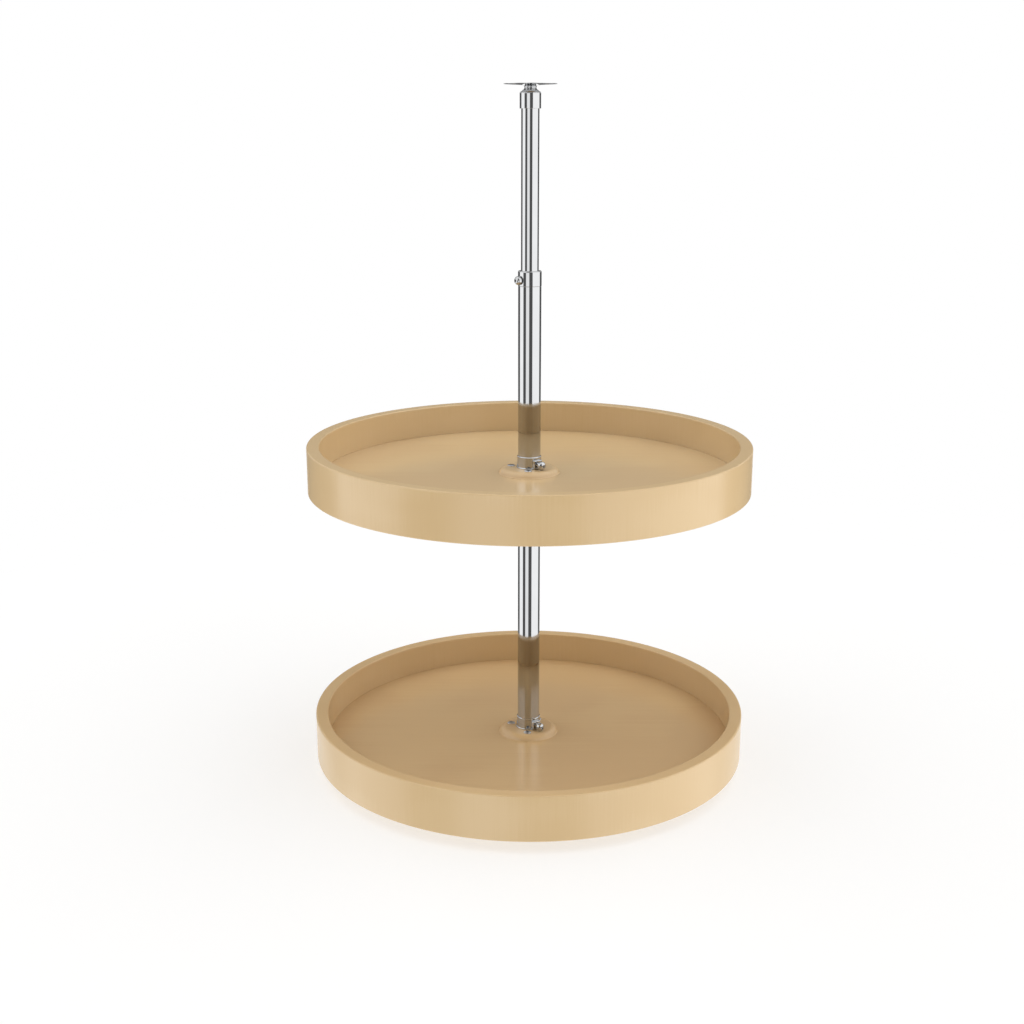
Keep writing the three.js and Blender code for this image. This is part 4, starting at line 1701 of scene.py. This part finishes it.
    def hub_nuts(self) -> None:
        """Makes a nut with chamfered corners and sets one on each screw."""
        name = self.node("hub_nuts_chamfered")
        nuts = prism(name, hexagon(self.nut_across_flats), self.nut_low, self.nut_high)
        reach = self.nut_across_flats / math.sqrt(3)
        flat = self.nut_across_flats / 2
        chamfer = self.nut_chamfer_slope * (reach - flat) + 1.5 * self.nut_land
        blank = [
            Corner(0.0, self.nut_low),
            Corner(flat - self.nut_land, self.nut_low, Edge.SHARP),
            Corner(reach + self.nut_land, self.nut_low + chamfer, Edge.SHARP),
            Corner(reach + self.nut_land, self.nut_high - chamfer, Edge.SHARP),
            Corner(flat - self.nut_land, self.nut_high, Edge.SHARP),
            Corner(0.0, self.nut_high),
        ]
        combine(nuts, turned("blank", blank, self.nut_facets), Join.KEEP_COMMON)
        low, high = self.nut_low - CUT_PAST, self.nut_high + CUT_PAST
        bore_out(nuts, rod(self.nut_bore, low, high), DRILL_FACETS)
        self.workshop.repeat(nuts, ZINC_PLATE, self.screw_circle, self.screw_angles)
        self.fit(nuts, ZINC_PLATE, "hub_nut_1", "hub_nut_2", "hub_nut_3")


# Studio
# ------


@dataclass(frozen=True)
class Ring:
    """Panels all round the object, as the chrome reflects them.

    Attributes:
        start: The elevation from which it reaches up to the next ring, in degrees.
        edges: Where its panels meet, in degrees round the post from the camera, towards its
            right.
        levels: How bright each panel is, where 1 is white. The first and the last meet behind
            the object.
    """

    start: float
    edges: tuple[float, ...]
    levels: tuple[float, ...]


@dataclass
class Studio:
    """The camera, the surroundings that light the object, and the floor.

    The light comes from two soft boxes at the object's sides, the canopy over them, an overhead
    panel and the pale ground. Between the boxes, the horizon has white screens with dark gaps,
    which the upright chrome shows as stripes.
    """

    lens: float = 50.0
    sensor: float = 36.0
    near_clip: float = 10.0
    camera_place: tuple[float, float, float] = (0.0, -1599.4, 731.7)
    camera_tilt: float = 75.0
    camera_turn: float = 0.712
    ground: float = 1.33
    skirt_side: float = 0.95
    screen: float = 1.8
    soft_screen: float = 1.58
    gap: float = 0.145
    behind: float = 0.2
    left_box: float = 1.4
    right_box: float = 1.48
    back_box: float = 0.82
    box_gap: float = 0.15
    canopy_left: float = 1.4
    canopy_right: float = 1.64
    canopy_gap: float = 0.5
    overhead: float = 1.45
    blend: float = 4.0
    floor_radius: float = 1500.0
    floor_fade: float = 700.0
    floor_edge: float = 20.0
    floor_drop: float = 0.4
    floor_facets: int = 96
    floor_colour: str = "#F7F7F6"
    floor_shadow: float = 0.4

    def rings(self) -> list[Ring]:
        """Lays out the surroundings above the ground, from the lowest ring up.

        Returns:
            The rings.
        """
        ground, side, behind = self.ground, self.skirt_side, self.behind
        screen, soft, gap = self.screen, self.soft_screen, self.gap
        left, right, back = self.left_box, self.right_box, self.back_box
        front_edges = (-112, -66, -37, -5, 28, 114)
        front = (screen, gap, soft, gap, screen)
        low_edges = (-163, *front_edges, 163)
        box_edges = (-155, -112, -38, 27, 118, 155)
        canopy = (behind, self.canopy_left, self.canopy_gap, self.canopy_right, behind)
        return [
            Ring(-30, low_edges, (ground, side, *front, side, ground)),
            Ring(-21, low_edges, (soft, gap, *front, gap, soft)),
            Ring(-10, front_edges, (gap, *front, gap)),
            Ring(5, box_edges, (behind, back, left, self.box_gap, right, back, behind)),
            Ring(40, (-155, -38, 27, 155), canopy),
            Ring(64, (), (self.overhead,)),
        ]

    def build(self) -> None:
        """Sets the studio up."""
        self.camera()
        self.surroundings()
        self.floor()
        bpy.context.scene.view_settings.view_transform = "Standard"

    def camera(self) -> None:
        """Stands the camera where the photograph was taken from."""
        camera = bpy.data.cameras.new("camera")
        camera.lens = self.lens
        camera.sensor_width = self.sensor
        camera.clip_start = self.near_clip * MM
        thing = bpy.data.objects.new("camera", camera)
        thing.location = Vector(self.camera_place) * MM
        thing.rotation_euler = (math.radians(self.camera_tilt), 0, math.radians(self.camera_turn))
        bpy.context.scene.collection.objects.link(thing)
        bpy.context.scene.camera = thing

    def surroundings(self) -> None:
        """Paints the studio by direction, and shows the camera plain white."""
        world = bpy.data.worlds.new("studio")
        bpy.context.scene.world = world
        world.use_nodes = True
        tree = world.node_tree
        tree.nodes.clear()
        direction = add_node(tree, "ShaderNodeTexCoord").outputs["Generated"]
        parts = add_node(tree, "ShaderNodeSeparateXYZ", inputs={"Vector": direction}).outputs
        toward = add_node(
            tree, "ShaderNodeMath", {"operation": "MULTIPLY"}, {0: parts["Y"], 1: -1.0}
        )
        round_angle = add_node(
            tree, "ShaderNodeMath", {"operation": "ARCTAN2"}, {0: parts["X"], 1: toward.outputs[0]}
        )
        way_round = add_node(
            tree,
            "ShaderNodeMapRange",
            inputs={"Value": round_angle.outputs[0], "From Min": -math.pi, "From Max": math.pi},
        )
        path = add_node(tree, "ShaderNodeLightPath").outputs
        layers = [
            (self.above(tree, parts["Z"], ring), self.panels(tree, way_round.outputs[0], ring))
            for ring in self.rings()
        ]
        layers.append((path["Is Camera Ray"], self.grey(1.0)))
        colour: Socket | Colour = self.grey(self.ground)
        for share, layer in layers:
            mixed = add_node(
                tree,
                "ShaderNodeMix",
                {"data_type": "RGBA"},
                {"Factor": share, "A": colour, "B": layer},
            )
            colour = mixed.outputs["Result"]
        light = add_node(tree, "ShaderNodeBackground", inputs={"Color": colour})
        add_node(tree, "ShaderNodeOutputWorld", inputs={"Surface": light.outputs[0]})

    @staticmethod
    def grey(level: float) -> Colour:
        """Returns a light level as a colour."""
        return (level, level, level, 1.0)

    def above(self, tree: Tree, rise: Socket, ring: Ring) -> Socket:
        """Tells directions above a ring's start from those below it.

        Args:
            tree: The world's tree.
            rise: The sine of a direction's elevation.
            ring: The ring.

        Returns:
            1 above its start and 0 below it, smoothed between.
        """
        ends = (ring.start - self.blend / 2, ring.start + self.blend / 2)
        low, high = (math.sin(math.radians(degrees)) for degrees in ends)
        step = add_node(
            tree,
            "ShaderNodeMapRange",
            SMOOTH_STEP,
            {"Value": rise, "From Min": low, "From Max": high},
        )
        return step.outputs["Result"]

    def panels(self, tree: Tree, way_round: Socket, ring: Ring) -> Socket:
        """Adds a ring's panels, each run into the next over a few degrees.

        Args:
            tree: The world's tree.
            way_round: How far round the object a direction lies, from 0 to 1.
            ring: The ring.

        Returns:
            The ring's colour.
        """
        half = self.blend / 2
        stops = [(0.0, ring.levels[0])]
        for edge, left, right in zip(ring.edges, ring.levels, ring.levels[1:]):
            stops.append(((edge - half + 180) / 360, left))
            stops.append(((edge + half + 180) / 360, right))
        node = add_node(tree, "ShaderNodeValToRGB", inputs={"Fac": way_round})
        ramp = node.color_ramp
        while len(ramp.elements) > 1:
            ramp.elements.remove(ramp.elements[-1])
        for index, (position, level) in enumerate(stops):
            element = ramp.elements[0] if index == 0 else ramp.elements.new(position)
            element.position = position
            element.color = self.grey(level)
        return node.outputs["Color"]

    def floor(self) -> None:
        """Lays a pale floor that fades into the white at its edge."""
        shape = bmesh.new()
        radius = self.floor_radius * MM
        bmesh.ops.create_circle(shape, cap_ends=True, segments=self.floor_facets, radius=radius)
        mesh = bpy.data.meshes.new("floor")
        shape.to_mesh(mesh)
        shape.free()
        floor = new_object("floor", mesh)
        mesh.materials.append(self.floor_paint())
        move_mesh(floor, shift(-self.floor_drop))

    def floor_paint(self) -> bpy.types.Material:
        """Makes white paint that only the camera sees: its shadow is faint, and its edge fades.

        Returns:
            The material.
        """
        material = bpy.data.materials.new("matt_white_floor")
        material.use_nodes = True
        tree = material.node_tree
        tree.nodes.clear()
        place_on = add_node(tree, "ShaderNodeTexCoord").outputs["Object"]
        reach = add_node(tree, "ShaderNodeVectorMath", {"operation": "LENGTH"}, {0: place_on})
        kept = add_node(
            tree,
            "ShaderNodeMapRange",
            SMOOTH_STEP,
            {
                "Value": reach.outputs["Value"],
                "From Min": (self.floor_radius - self.floor_edge) * MM,
                "From Max": (self.floor_radius - self.floor_fade) * MM,
            },
        )
        path = add_node(tree, "ShaderNodeLightPath").outputs
        shown = add_node(
            tree,
            "ShaderNodeMath",
            {"operation": "MULTIPLY"},
            {0: kept.outputs["Result"], 1: path["Is Camera Ray"]},
        )
        matt = add_node(tree, "ShaderNodeBsdfDiffuse", inputs={"Color": linear(self.floor_colour)})
        glow = add_node(tree, "ShaderNodeEmission", inputs={"Color": self.grey(1.0)})
        paint = add_node(
            tree,
            "ShaderNodeMixShader",
            inputs={0: self.floor_shadow, 1: glow.outputs[0], 2: matt.outputs[0]},
        )
        clear = add_node(tree, "ShaderNodeBsdfTransparent")
        both = add_node(
            tree,
            "ShaderNodeMixShader",
            inputs={0: shown.outputs[0], 1: clear.outputs[0], 2: paint.outputs[0]},
        )
        add_node(tree, "ShaderNodeOutputMaterial", inputs={"Surface": both.outputs[0]})
        return material


# The whole
# ---------


def main() -> None:
    """Builds the studio, then the object from its base up."""
    logging.basicConfig(level=logging.INFO, format="%(name)s: %(message)s")
    Studio().build()
    workshop = Workshop()
    Base(workshop).build()
    Post(workshop).build()
    TopMount(workshop).build()
    for level in Level:
        Shelf(workshop, level).build()


if __name__ == "__main__":
    main()
